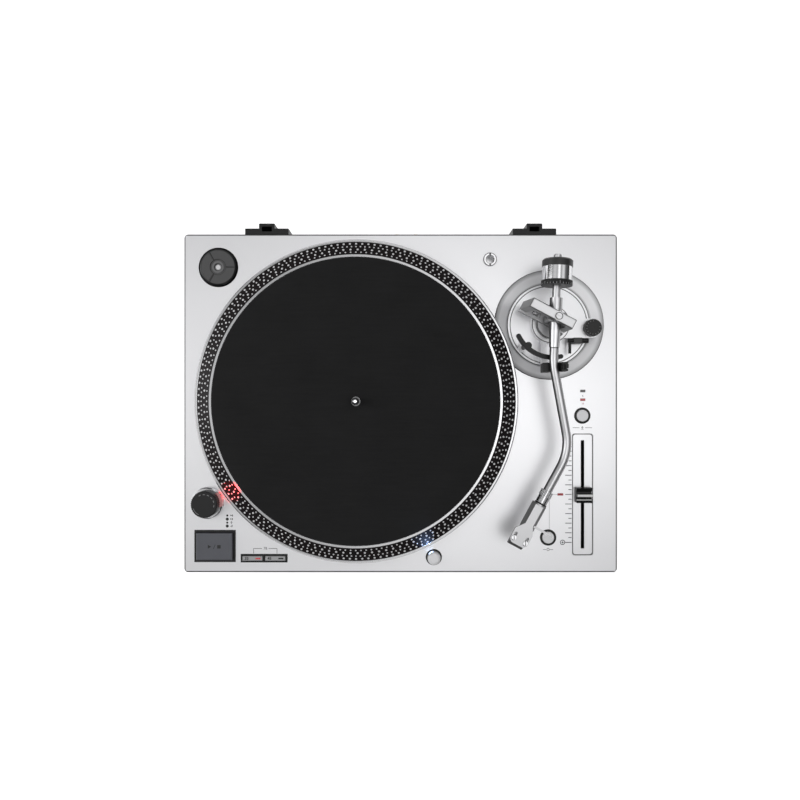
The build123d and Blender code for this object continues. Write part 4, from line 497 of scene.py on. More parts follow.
RING_R = 57.1 * MM
RING_INNER_R = 43.4 * MM
RING_SHADE = (2.0 * MM, 5.0 * MM)
PLATE_TOP = (1.2 * MM, 0.8 * MM)
PLATE_RIM = (42.4 * MM, 42.7 * MM)
GROOVE = (39.7 * MM, 40.6 * MM)
STEP_R = 19.5 * MM
STEP_FROM = (9.7 * MM, 9.9 * MM)
PILLAR_R = 15.6 * MM
# Width of the painted shade lines along the ring's, the plate's and the pillar's edges
EDGE_SHADE_LINE = 0.8 * MM
LUG_LOW = (177.8 * MM, 55.0 * MM)
LUG_HIGH = (186.2 * MM, 61.8 * MM)


def base_ring_finish():
    """Turned ring round the arm's base, darkened towards both its edges and along a thin line at its outer
    edge by painted shade.
    """
    made = Shader("base_ring_finish", tint(0.9), 0.3, 0.4)
    rings = made.turned(BASE, 0.4 * MM)
    out = made.radius(BASE)
    # Darker towards both edges: painted shade.
    outer = made.spread(out, 0.0, 0.85, RING_R - RING_SHADE[1], RING_R)
    inner = made.spread(out, 0.6, 0.0, RING_INNER_R, RING_INNER_R + RING_SHADE[0])
    body = made.mix(rings, tint(0.9), tint(0.98))
    shaded = made.mix(made.math("MAXIMUM", outer, inner), body, tint(0.2))
    # A thin dark line at the outer edge: painted shade.
    line = made.spread(out, 0.0, 1.0, RING_R - EDGE_SHADE_LINE, RING_R - EDGE_SHADE_LINE / 2)
    colour = made.mix(line, shaded, tint(0.05))
    return made.done(colour, made.spread(rings, 0.3, 0.4), rings, 0.2, 0.03 * MM)


def base_plate_finish():
    """Turned base plate with a dark groove, a darker rim and a dark line round its step, all painted shade,
    and a black lug for the cue lever.
    """
    made = Shader("base_plate_finish", tint(0.86), 0.5, 0.38)
    rings = made.turned(BASE, 0.5 * MM)
    out = made.radius(BASE)
    height = made.parts()[2]
    flat = made.spread(height, 1.0, 0.0, DECK - PLATE_TOP[0], DECK - PLATE_TOP[1])
    # Dark in the groove, at the rim beside the ring and along the step's edge: painted shade.
    rim = made.spread(out, 0.0, 1.0, *PLATE_RIM)
    groove = made.math("MAXIMUM", made.between(out, *GROOVE), rim)
    raised = made.spread(height, 0.0, 1.0, DECK + STEP_FROM[0], DECK + STEP_FROM[1])
    step = made.times(made.between(out, STEP_R - EDGE_SHADE_LINE, STEP_R + EDGE_SHADE_LINE), raised)
    dark = made.math("MAXIMUM", made.times(groove, flat), step)
    body = made.mix(rings, tint(0.86), tint(0.96))
    x, y, _ = made.parts()
    wide = made.between(x, LUG_LOW[0], LUG_HIGH[0])
    deep = made.between(y, LUG_LOW[1], LUG_HIGH[1])
    lug = made.times(made.times(wide, deep), made.math("SUBTRACT", 1.0, flat))
    made.drive("Metallic", made.spread(lug, 0.5, 0.0))
    colour = made.mix(lug, made.mix(dark, body, tint(0.09)), tint(0.018))
    return made.done(colour, made.spread(rings, 0.32, 0.42), rings, 0.2, 0.03 * MM)


def pillar_finish():
    """Turned pillar with a dark line of painted shade at its edge."""
    made = Shader("pillar_finish", tint(0.55), 0.85, 0.4)
    rings = made.turned(BASE, 0.5 * MM)
    # A dark line at the pillar's edge: painted shade.
    edge = made.between(made.radius(BASE), PILLAR_R - EDGE_SHADE_LINE, PILLAR_R + EDGE_SHADE_LINE)
    colour = made.mix(edge, made.mix(rings, tint(0.5), tint(0.6)), tint(0.08))
    return made.done(colour, made.spread(rings, 0.34, 0.46), rings, 0.2, 0.03 * MM)


MOUNT_FACE = (-1.3 * MM, -1.1 * MM)
SCREW_HEAD = (2.7 * MM, 2.8 * MM)


def cartridge_finish():
    """Black cartridge body with bright screws and a bright mounting face under the shell's slots."""
    made = Shader("cartridge_finish", tint(0.016), 0.0, 0.4)
    height = made.parts()[2]
    metal_part = made.spread(height, 0.0, 1.0, ARM_LEVEL + MOUNT_FACE[0], ARM_LEVEL + MOUNT_FACE[1])
    head = made.spread(height, 0.0, 1.0, ARM_LEVEL + SCREW_HEAD[0], ARM_LEVEL + SCREW_HEAD[1])
    grain = made.noise(2500.0, 2.0)
    body = made.mix(grain, tint(0.012), tint(0.02))
    bright = made.mix(head, tint(0.22), made.mix(grain, tint(0.66), tint(0.8)))
    made.drive("Metallic", metal_part)
    colour = made.mix(metal_part, body, bright)
    roughness = made.mix_value(metal_part, 0.4, made.spread(grain, 0.14, 0.24))
    return made.done(colour, roughness, grain, 0.2, 0.03 * MM)


STORE_R = 7.0 * MM
STORE_BORE_R = 4.1 * MM
STORE_MOUTH = (3.9 * MM, 4.2 * MM)
STORE_LINE = 0.5 * MM
STORE_KEY = 0.9 * MM


def store_finish():
    """Turned socket with dark outlines of painted shade and key marks, bright on its flange; down its bore,
    painted light and shade make it bright towards the front and grey towards the back.
    """
    made = Shader("store_finish", tint(0.8), 1.0, 0.25)
    rings = made.turned(STORE, 0.3 * MM)
    out = made.radius(STORE)
    dx, dy = made.offset(STORE)
    bore = made.spread(out, 1.0, 0.0, *STORE_MOUTH)
    # Dark outlines at the bore's mouth and the flange's rim: painted shade.
    mouth = made.between(out, STORE_BORE_R, STORE_BORE_R + STORE_LINE)
    rim = made.spread(out, 0.0, 1.0, STORE_R - 2 * STORE_LINE, STORE_R - STORE_LINE)
    lines = made.math("MAXIMUM", mouth, rim)
    lines = made.math("MAXIMUM", lines, made.between(dx, -STORE_KEY, STORE_KEY))
    shade_lined = made.mix(lines, made.mix(rings, tint(0.66), tint(0.8)), tint(0.1))
    # The bore bright towards the front and grey towards the back: painted light and shade.
    well = made.mix(made.spread(dy, 0.0, 1.0, -STORE_BORE_R, STORE_BORE_R), tint(0.95), tint(0.4))
    return made.done(made.mix(bore, shade_lined, well), made.spread(rings, 0.2, 0.34), rings, 0.2, 0.03 * MM)


PAD_TOP = (5.9 * MM, 6.1 * MM)


def foot_finish():
    """Moulded foot over a softer rubber pad."""
    made = Shader("foot_finish", tint(0.02), 0.0, 0.6)
    pad = made.spread(made.parts()[2], 1.0, 0.0, *PAD_TOP)
    grain = made.noise(1800.0, 3.0)
    shell = made.mix(grain, tint(0.022), tint(0.04))
    rubber = made.mix(grain, tint(0.010), tint(0.02))
    colour = made.mix(pad, shell, rubber)
    roughness = made.mix_value(pad, 0.48, made.spread(grain, 0.75, 0.95))
    return made.done(colour, roughness, grain, 0.3, 0.08 * MM)


def board_finish():
    """Green circuit board with paler copper runs under the lacquer."""
    made = Shader("board_finish", (0.02, 0.16, 0.07), 0.0, 0.3)
    runs = made.add("ShaderNodeTexVoronoi", {"Vector": made.place, "Scale": 260.0}, distance="MANHATTAN")
    cell = made.spread(runs.outputs["Distance"], 0.0, 1.0, 0.25, 0.3)
    made.drive("Base Color", made.mix(cell, (0.05, 0.3, 0.13), (0.015, 0.12, 0.05)))
    made.bump(cell, 0.2, 0.05 * MM)
    return made.material


LED_STEP = 0.5 * MM


def led_finish():
    """A dark smoked window and a red one, told apart along the deck."""
    made = Shader("led_finish", (0.05, 0.02, 0.02), 0.0, 0.15)
    split = middle("range_leds").y
    red = made.spread(made.parts()[1], 1.0, 0.0, split - LED_STEP, split)
    cloud = made.noise(900.0, 2.0)
    smoked = made.mix(cloud, (0.03, 0.025, 0.028), (0.07, 0.055, 0.06))
    made.drive("Base Color", made.mix(red, smoked, (0.32, 0.05, 0.06)))
    made.set("Emission Color", (1.0, 0.08, 0.08, 1))
    made.drive("Emission Strength", made.times(red, 0.12))
    return made.material


def key_light():
    """Red light bar let into a key."""
    made = Shader("key_light", (0.55, 0.06, 0.07), 0.0, 0.3)
    made.vary(made.noise(900.0, 2.0), (0.55, 0.06, 0.07), 0.2, 0.3, 0.05)
    made.set("Emission Color", (1.0, 0.12, 0.12, 1))
    made.set("Emission Strength", 0.1)
    return made.material


black = plastic("black_plastic", tint(0.013), 0.42, shine=0.3)
tray_black = plastic("tray_plastic", tint(0.022), 0.6, 1200.0, 0.15 * MM)
knob_grey = plastic("knob_plastic", tint(0.014), 0.38, shine=0.3)
key_silver = plastic("key_silver", tint(0.42), 0.35, share=0.05)
round_key = plastic("round_key", tint(0.9), 0.35, share=0.05)
light_grey = plastic("light_grey_plastic", tint(0.48), 0.35, share=0.05)
satin = metal("satin_alloy", tint(0.62), 0.26)
# pale_alloy and collar_chrome take a darker colour on their upright faces: painted shade.
pale_alloy = shaded_metal("pale_alloy", tint(0.56), tint(0.2), (0.72, 0.96), 0.36, 0.9)
collar_chrome = shaded_metal("collar_chrome", tint(0.5), tint(0.1), (0.45, 0.9), 0.24)
dark_steel = metal("dark_steel", tint(0.2), 0.35)
steel = metal("steel", tint(0.5), 0.3)
gilt = metal("gilt", (0.86, 0.62, 0.26), 0.16)
copper = metal("copper_wire", (0.72, 0.32, 0.15), 0.3, 2600.0, (1, 1, 12))
iron = metal("core_iron", tint(0.35), 0.4, 2500.0, (0.1, 0.1, 3))
ink_dark = ink("ink_dark", tint(0.02))
ink_line = ink("ink_line", tint(0.12))
ink_tick = ink("ink_tick", tint(0.06))
ink_mid = ink("ink_mid", tint(0.2))
ink_pale = ink("ink_pale", tint(0.4))
ink_red = ink("ink_red", (0.42, 0.06, 0.07))
ink_white = ink("ink_white", tint(0.92, 1.0))
felt_black = felt()
foot_black = foot_finish()

FINISHES = [
    (deck_paint(), "plinth_shell"),
    (tray_black, "base_tray"),
    (black, "hinge_sockets rear_panel dc_inlet start_stop_bezel speed_bezel control_bezels fader_unit"),
    (black, "weight_dial lift_bar cue_lever arm_rest rest_clip"),
    (gilt, "rca_jacks ground_post ground_nut bearing_sleeve"),
    (dark_steel, "tray_screws rotor_magnet yaw_carrier"),
    (steel, "usb_socket pivot_screw"),
    (satin, "motor_base"),
    (iron, "stator_core"),
    (copper, "stator_coils"),
    (board_finish(), "circuit_boards"),
    (platter_finish(), "platter"),
    (spindle_finish(), "spindle"),
    (felt_black, "slipmat"),
    (adapter_finish(), "adapter_45"),
    (turned_metal("pod_finish", tint(0.62), POD, 0.2, 0.4 * MM), "strobe_housing"),
    (lens_red(), "strobe_lens"),
    (knob_grey, "power_knob pitch_fader antiskate_knob"),
    (lined_button(), "start_stop_button"),
    (key_silver, "speed_button_33 speed_button_45"),
    (round_key, "tempo_button quartz_button"),
    (led_finish(), "range_leds"),
    (lamp_white(), "target_lamp"),
    (metal("fader_panel_finish", tint(0.68), 0.36, 2500.0, (1, 0.04, 1)), "fader_panel"),
    (store_finish(), "headshell_store"),
    (base_ring_finish(), "arm_base_ring"),
    (base_plate_finish(), "arm_base_plate"),
    (pillar_finish(), "arm_pillar"),
    (pale_alloy, "gimbal_frame headshell"),
    (tube_finish(), "arm_tube"),
    (weight_finish(), "counterweight"),
    (collar_chrome, "lock_collar"),
    (cartridge_finish(), "cartridge"),
    (light_grey, "gain_switch stylus"),
    (foot_black, "foot_front_left foot_front_right foot_rear_left foot_rear_right"),
]
for finish, node_names in FINISHES:
    for node_name in node_names.split():
        NODES[node_name].data.materials.clear()
        NODES[node_name].data.materials.append(finish)


# Ways to make the pieces
def polar(radius, degrees):
    angle = math.radians(degrees)
    return Vector((radius * math.cos(angle), radius * math.sin(angle)))


def level(x=0.0, y=0.0, z=DECK):
    """A level plane at a place."""
    return Matrix.Translation((x, y, z))


def box_outline(left, right, low, high):
    return [(left, low), (right, low), (right, high), (left, high)]


def rounded_outline(width, length, corner, steps=8):
    """Points round a rectangle with rounded corners."""
    points = []
    for turn, (across, along) in enumerate(((1, 1), (-1, 1), (-1, -1), (1, -1))):
        centre = Vector((across * (width / 2 - corner), along * (length / 2 - corner)))
        points += [centre + polar(corner, 90 * turn + 90 * i / steps) for i in range(steps + 1)]
    return points


def mesh_of(name, shape):
    """Turns a finished bmesh into a mesh."""
    bmesh.ops.recalc_face_normals(shape, faces=shape.faces)
    mesh = bpy.data.meshes.new(name)
    shape.to_mesh(mesh)
    shape.free()
    return mesh


def piece(name, mesh, material, body, smooth=True):
    """A named mesh object that rides on a body."""
    mesh.materials.append(material)
    for polygon in mesh.polygons:
        polygon.use_smooth = smooth
    made = bpy.data.objects.new(name, mesh)
    bpy.context.scene.collection.objects.link(made)
    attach(made, body)
    return made


def lathe(name, profile, steps, centre=(0, 0)):
    """A mesh turned about an upright axis from (radius, height) points of a closed outline."""
    shape = bmesh.new()
    rings = []
    for step in range(steps):
        way = Vector((*polar(1.0, 360 * step / steps), 0))
        rings.append([shape.verts.new(Vector((*centre, z)) + way * r) for r, z in profile])
    for ring, following in zip(rings, rings[1:] + rings[:1]):
        for j in range(len(profile)):
            k = (j + 1) % len(profile)
            shape.faces.new((ring[j], following[j], following[k], ring[k]))
    return mesh_of(name, shape)


def add_block(shape, low, high):
    """A closed block between two outlines with as many points each."""
    shape.faces.new(high)
    shape.faces.new(low[::-1])
    for i in range(len(low)):
        j = (i + 1) % len(low)
        shape.faces.new((low[i], low[j], high[j], high[i]))


# Height of a figure as a share of its font's size
FIGURE_SHARE = 0.7


class Print:
    """Flat shapes of one ink on a plane: x and y across it, INK thick, standing up out of it."""

    def __init__(self, plane):
        self.plane = plane
        self.shape = bmesh.new()

    def verts(self, points, height):
        return [self.shape.verts.new(self.plane @ Vector((*point, height))) for point in points]

    def outline(self, points):
        """A filled outline with its thickness."""
        add_block(self.shape, self.verts(points, -INK / 2), self.verts(points, INK))

    def band(self, outer, inner, closed=True):
        """A band between two lines with as many points each."""
        loops = [self.verts(inner, -INK / 2), self.verts(outer, -INK / 2)]
        loops += [self.verts(outer, INK), self.verts(inner, INK)]
        count = len(outer)
        for a, b in zip(loops, loops[1:] + loops[:1]):
            for i in range(count if closed else count - 1):
                j = (i + 1) % count
                self.shape.faces.new((a[i], a[j], b[j], b[i]))
        if not closed:
            self.shape.faces.new([loop[0] for loop in loops])
            self.shape.faces.new([loop[-1] for loop in loops][::-1])

    def bar(self, start, end, width):
        a, b = Vector(start), Vector(end)
        side = (b - a).orthogonal().normalized() * width / 2
        self.outline([a + side, a - side, b - side, b + side])

    def plus(self, centre, reach, width):
        for way in (Vector((reach, 0)), Vector((0, reach))):
            self.bar(centre - way, centre + way, width)

    def disc(self, centre, radius, steps=24):
        self.outline([Vector(centre) + polar(radius, 360 * i / steps) for i in range(steps)])

    def arc(self, centre, radius, width, start=0.0, span=360.0, steps=48):
        """A ring, or part of one."""
        closed = span == 360.0
        angles = [start + span * i / steps for i in range(steps if closed else steps + 1)]
        outer = [Vector(centre) + polar(radius + width / 2, angle) for angle in angles]
        inner = [Vector(centre) + polar(radius - width / 2, angle) for angle in angles]
        self.band(outer, inner, closed)

    def text(self, words, centre, height, weight=0.0):
        """Plain figures, centred on a point, with their strokes thickened by a weight."""
        curve = bpy.data.curves.new("figures", "FONT")
        curve.body = words
        curve.size = height / FIGURE_SHARE
        curve.align_x = "CENTER"
        curve.align_y = "CENTER"
        curve.extrude = INK
        curve.offset = weight
        curve.resolution_u = 3
        holder = bpy.data.objects.new("figures", curve)
        mesh = bpy.data.meshes.new_from_object(holder)
        mesh.transform(self.plane @ Matrix.Translation((*centre, 0)))
        self.shape.from_mesh(mesh)
        bpy.data.meshes.remove(mesh)
        bpy.data.objects.remove(holder)
        bpy.data.curves.remove(curve)

    def done(self, name, material, body):
        return piece(name, mesh_of(name, self.shape), material, body, smooth=False)


# Slipmat: a felt disc with a soft rolled edge, laid on the platter
MAT_SOFT = 0.9 * MM
MAT_HOLE = 4.8 * MM
MAT_SINK = 0.15 * MM
MAT_ROWS = (0.1, 0.25, 0.45, 0.65, 0.85)
MAT_EDGE_STEPS = 6
MAT_SIDES = 160
mat_low, mat_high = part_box("slipmat")
mat_r = (mat_high.x - mat_low.x) / 2


def felt_profile():
    low, high = mat_low.z, mat_high.z
    rows = [(MAT_HOLE, low), (MAT_HOLE, high - MAT_SINK), (MAT_HOLE + MAT_SOFT, high)]
    rows += [(MAT_HOLE + (mat_r - MAT_HOLE) * share, high) for share in MAT_ROWS]
    for i in range(MAT_EDGE_STEPS + 1):
        corner = polar(MAT_SOFT, 90 - 90 * i / MAT_EDGE_STEPS)
        rows.append((mat_r - MAT_SOFT + corner.x, high - MAT_SOFT + corner.y))
    return rows + [(mat_r, low)]


mat_mesh = lathe("felt_mat", felt_profile(), MAT_SIDES, SPINDLE)
mat = piece("felt_mat", mat_mesh, felt_black, "turntable")
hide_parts("slipmat")

# Strobe dots: raised studs in four rows on the platter's cone
STUD_HIGH = 0.35 * MM
STUD_SIDES = 10
STUD_LAYERS = ((1.0, -0.1), (0.95, 0.55), (0.6, 1.0))
STROBE_ROWS = [(151.25, 180, 0.85), (154.3, 133, 1.15), (157.6, 216, 0.85), (160.8, 160, 1.15)]


def strobe_studs():
    """Each stud is a low dome that stands square on the cone."""
    shape = bmesh.new()
    fall = Vector(CONE_FOOT) - Vector(CONE_TOP)
    lean = Matrix.Rotation(math.atan2(-fall.y, fall.x), 4, "Y")
    centre = Matrix.Translation((*SPINDLE, DECK))
    for row_r, count, stud_r in STROBE_ROWS:
        r = row_r * MM
        height = CONE_TOP[1] + fall.y * (r - CONE_TOP[0]) / fall.x
        for i in range(count):
            turn = Matrix.Rotation(2 * math.pi * i / count, 4, "Z")
            stand = centre @ turn @ Matrix.Translation((r, 0, height)) @ lean
            rings = []
            for share, lift in STUD_LAYERS:
                ring = [polar(stud_r * MM * share, 360 * k / STUD_SIDES) for k in range(STUD_SIDES)]
                rings.append([shape.verts.new(stand @ Vector((*p, STUD_HIGH * lift))) for p in ring])
            for low, high in zip(rings, rings[1:]):
                for k in range(STUD_SIDES):
                    n = (k + 1) % STUD_SIDES
                    shape.faces.new((low[k], low[n], high[n], high[k]))
            shape.faces.new(rings[-1])
            shape.faces.new(rings[0][::-1])
    return mesh_of("strobe_studs", shape)


piece("strobe_studs", strobe_studs(), ink("strobe_dot", tint(0.74)), "turntable")

# Pitch fader: a dark band of painted shade round its panel, the scale beside it and the lines on its knob
PANEL_SHADE = 1.0 * MM
PANEL_SHADE_IN = 0.1 * MM
PANEL_CORNER = 2.6 * MM
TICKS = 10
TICK_PITCH = 5.0 * MM
TICK_RIGHT = 178.3 * MM
TICK_LONG = 6.6 * MM
TICK_SHORT = 3.3 * MM
TICK_WIDTH = 0.75 * MM
LINK_X = 155.1 * MM
LINK_END = -137.5 * MM
LINK_REACH = 9.0 * MM
LINK_WIDTH = 0.4 * MM
PLUS_AT = Vector((168.9 * MM, FADER.y - TICKS * TICK_PITCH))
PLUS_R = 2.3 * MM
CENTRE_MARK = (163.6 * MM, 169.6 * MM)
CENTRE_HALF = 1.2 * MM
panel_low, panel_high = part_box("fader_panel")
panel_size = panel_high - panel_low
# A dark band just inside the panel's edge: painted shade of its recess, not a part.
panel_shade = Print(level(*FADER, panel_high.z))
panel_shade_sizes = [panel_size - Vector((2 * inset, 2 * inset, 0)) for inset in (PANEL_SHADE_IN, PANEL_SHADE)]
panel_shade.band(*[rounded_outline(size.x, size.y, PANEL_CORNER) for size in panel_shade_sizes])
panel_shade.done("fader_panel_shade", ink_line, "chassis")
scale = Print(level())
for step in range(-TICKS, TICKS + 1):
    y = FADER.y + step * TICK_PITCH
    length = TICK_SHORT if step % 2 else TICK_LONG
    scale.bar((TICK_RIGHT - length, y), (TICK_RIGHT, y), TICK_WIDTH)
scale.arc(PLUS_AT, PLUS_R, TICK_WIDTH)
scale.plus(PLUS_AT, PLUS_R / 2, TICK_WIDTH)
scale.bar(PLUS_AT + Vector((PLUS_R, 0)), (TICK_RIGHT - TICK_LONG, PLUS_AT.y), TICK_WIDTH)
scale.done("pitch_scale", ink_tick, "chassis")
link = Print(level())
link.bar((LINK_X, FADER.y), (LINK_X, LINK_END), LINK_WIDTH)
link.bar((LINK_X, FADER.y), (LINK_X + LINK_REACH, FADER.y), LINK_WIDTH)
link.done("quartz_link", ink_pale, "chassis")
centre_mark = Print(level())
centre_mark.outline(box_outline(*CENTRE_MARK, FADER.y - CENTRE_HALF, FADER.y + CENTRE_HALF))
centre_mark.done("pitch_centre_mark", ink_red, "chassis")
INDEX_IN = 0.3 * MM
RIDGE_HALF = 1.15 * MM
SECOND_HALF = 0.6 * MM
DIP_AT = (4.9 * MM, 6.77 * MM)
DIP_LEAN = math.radians(-41.0)
knob_low, knob_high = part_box("pitch_fader")
knob_half = (knob_high.x - knob_low.x) / 2 - INDEX_IN
index = Print(level(*FADER, knob_high.z))
index.outline(box_outline(-knob_half, knob_half, -RIDGE_HALF, RIDGE_HALF))
index.done("fader_index", ink_white, "fader")
second = Print(level(FADER.x, FADER.y - DIP_AT[0], DECK + DIP_AT[1]) @ Matrix.Rotation(DIP_LEAN, 4, "X"))
second.outline(box_outline(-knob_half, knob_half, -SECOND_HALF, SECOND_HALF))
second.done("fader_second_line", ink_white, "fader")

# Figures by the range lights, and plain marks by the two round buttons
LED_FIGURE = 1.9 * MM
EIGHT_DROP = 6.4 * MM
SIXTEEN_DROP = 2.9 * MM
MARK_DROP = Vector((0, 12.6 * MM))
MARK_WIDTH = 0.5 * MM
SIGN_REACH = 1.3 * MM
PLUS_UP = Vector((0, 0.4 * MM))
MINUS_DOWN = -1.5 * MM
TEMPO_DASH = (3.0 * MM, 10.0 * MM)
QUARTZ_DASH = (1.8 * MM, 5.2 * MM)
led_low, led_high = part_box("range_leds")
led_x = middle("range_leds").x
range_figures = [("8", led_high.y - EIGHT_DROP, ink_line), ("16", led_low.y - SIXTEEN_DROP, ink_red)]
for words, figure_y, colour in range_figures:
    figures = Print(level())
    figures.text(words, (led_x, figure_y), LED_FIGURE)
    figures.done(f"range_figure_{words}", colour, "chassis")
tempo_mark = TEMPO - MARK_DROP
quartz_mark = QUARTZ - MARK_DROP
marks = Print(level())
for mark, dash in ((tempo_mark, TEMPO_DASH), (quartz_mark, QUARTZ_DASH)):
    for side in (-1, 1):
        near, far = [mark + Vector((side * out, 0)) for out in dash]
        marks.bar(near, far, MARK_WIDTH)
marks.plus(tempo_mark + PLUS_UP, SIGN_REACH, MARK_WIDTH)
minus = [tempo_mark + Vector((side * SIGN_REACH, MINUS_DOWN)) for side in (-1, 1)]
marks.bar(*minus, MARK_WIDTH)
marks.arc(quartz_mark, SIGN_REACH, MARK_WIDTH, steps=24)
marks.done("button_marks", ink_line, "chassis")

# Strobe legend: four dots with their figures
LEGEND_X = -180.9 * MM
LEGEND_GAP = 4.4 * MM
LEGEND_FIGURE = (2.1 * MM, 0.1 * MM)
LEGEND = [(-122.9, 1.1, "+6"), (-126.7, 1.6, "+3"), (-130.3, 1.1, "0"), (-133.9, 1.6, "-3")]
legend = Print(level())
for legend_y, dot_r, words in LEGEND:
    legend.disc((LEGEND_X, legend_y * MM), dot_r * MM)
    legend.text(words, (LEGEND_X + LEGEND_GAP, legend_y * MM), *LEGEND_FIGURE)
legend.done("strobe_legend", ink_dark, "chassis")

# Speed bracket over the two speed keys, and the keys' figures and lights
BRACKET_Y = -157.3 * MM
BRACKET_FOOT = -162.6 * MM
BRACKET = (-153.4 * MM, -129.0 * MM)
BRACKET_GAP = 3.4 * MM
BRACKET_WIDTH = 0.5 * MM
SPEED_FIGURE = 2.9 * MM
KEY_FIGURE_AT = (-6.0 * MM, 0.0)
KEY_FIGURE_WEIGHT = 0.12 * MM
KEY_LIGHT = (3.2 * MM, 8.4 * MM, -0.8 * MM, 0.8 * MM)
bracket_mid = sum(BRACKET) / 2
for side, foot_x, label in ((-1, BRACKET[0], "left"), (1, BRACKET[1], "right")):
    bracket = Print(level())
    bracket.bar((bracket_mid + side * BRACKET_GAP, BRACKET_Y), (foot_x, BRACKET_Y), BRACKET_WIDTH)
    bracket.bar((foot_x, BRACKET_Y), (foot_x, BRACKET_FOOT), BRACKET_WIDTH)
    bracket.done(f"speed_bracket_{label}", ink_line, "chassis")
both = Print(level())
both.text("78", (bracket_mid, BRACKET_Y), SPEED_FIGURE)
both.done("speed_figure_78", ink_line, "chassis")
key_lights = {"33": key_light(), "45": ink_dark}
for figure, lit in key_lights.items():
    node = f"speed_button_{figure}"
    body = f"speed_{figure}"
    key_top = level(*middle(node), top(node))
    face = Print(key_top)
    face.text(figure, KEY_FIGURE_AT, SPEED_FIGURE, KEY_FIGURE_WEIGHT)
    face.done(f"{body}_figure", ink_dark, body)
    light_bar = Print(key_top)
    light_bar.outline(box_outline(*KEY_LIGHT))
    light_bar.done(f"{body}_light", lit, body)

# Start/stop key: plain play and stop signs
PLAY_SIGN = [(-6.5, -2.0), (-3.0, 0.0), (-6.5, 2.0)]
SLASH = [(-0.8, -2.2), (1.2, 2.2)]
SLASH_WIDTH = 0.5 * MM
STOP_SIGN = (3.2 * MM, 6.8 * MM, -1.8 * MM, 1.8 * MM)
sign = Print(level(*START, top("start_stop_button")))
sign.outline([Vector(point) * MM for point in PLAY_SIGN])
sign.bar(*[Vector(point) * MM for point in SLASH], SLASH_WIDTH)
sign.outline(box_outline(*STOP_SIGN))
sign.done("start_stop_sign", ink_dark, "start_stop")

# Power knob: printed dashes and an index arc near its edge
DASH_ANGLES = (108, 84, 60, 36, 12, -14)
DASH_ARC = (10.3 * MM, 0.8 * MM)
DASH_SPAN = 12
INDEX_ARC = (11.4 * MM, 0.6 * MM)
INDEX_FROM = 200
INDEX_SPAN = 42
dashes = Print(level(*KNOB, top("power_knob")))
for angle in DASH_ANGLES:
    dashes.arc((0, 0), *DASH_ARC, angle, DASH_SPAN, 4)
dashes.arc((0, 0), *INDEX_ARC, INDEX_FROM, INDEX_SPAN, 12)
dashes.done("power_marks", ink_mid, "power")

# Anti-skate knob: a ring of ticks
SKATE_TICK = (6.2 * MM, 7.4 * MM)
SKATE_TICK_WIDTH = 0.45 * MM
SKATE_ANGLES = range(90, 390, 25)
skate_top = Print(level(*SKATE, top("antiskate_knob")))
for angle in SKATE_ANGLES:
    skate_top.bar(*[polar(radius, angle) for radius in SKATE_TICK], SKATE_TICK_WIDTH)
skate_top.done("antiskate_ticks", ink_mid, "skate")

# Gimbal: the roller in the lower bar's slot, and a dark ring of painted shade round the pivot screw's recess
ROLLER_R = 2.3 * MM
ROLLER_HALF = 3.0 * MM
ROLLER_EDGE = 0.4 * MM
ROLLER_BORE = 0.8 * MM
ROLLER_SIDES = 32
RECESS_SHADE_ARC = (3.3 * MM, 0.7 * MM)
ROLLER_AT = Vector((-17.0 * MM, -1.4 * MM, DECK + 23.0 * MM))
gimbal_plane = Matrix.Translation((*PIVOT, 0)) @ Matrix.Rotation(GIMBAL_TURN, 4, "Z")
roller_profile = [
    (ROLLER_BORE, -ROLLER_HALF),
    (ROLLER_R - ROLLER_EDGE, -ROLLER_HALF),
    (ROLLER_R, -ROLLER_HALF + ROLLER_EDGE),
    (ROLLER_R, ROLLER_HALF - ROLLER_EDGE),
    (ROLLER_R - ROLLER_EDGE, ROLLER_HALF),
    (ROLLER_BORE, ROLLER_HALF),
]
roller = lathe("gimbal_roller", roller_profile, ROLLER_SIDES)
roller.transform(gimbal_plane @ Matrix.Translation(ROLLER_AT) @ Matrix.Rotation(math.pi / 2, 4, "Y"))
piece("gimbal_roller", roller, satin, "chassis")
# A dark ring round the pivot screw: painted shade of its recess.
recess_shade = Print(level(*PIVOT, top("pivot_screw")))
recess_shade.arc((0, 0), *RECESS_SHADE_ARC)
recess_shade.done("pivot_recess_shade", ink_tick, "chassis")

# Headshell: the soft washer between the collar and the shell
RING_SIDES = 48
WASHER = [(5.25, 13.35), (6.0, 13.35), (6.2, 13.6), (6.2, 14.4), (6.0, 14.65), (5.25, 14.65)]
washer = lathe("shell_washer", [(r * MM, z * MM) for r, z in WASHER], RING_SIDES)
washer.transform(Matrix.Translation(HEAD_ROOT) @ HEAD_AHEAD.to_track_quat("Z", "Y").to_matrix().to_4x4())
piece("shell_washer", washer, black, "arm")

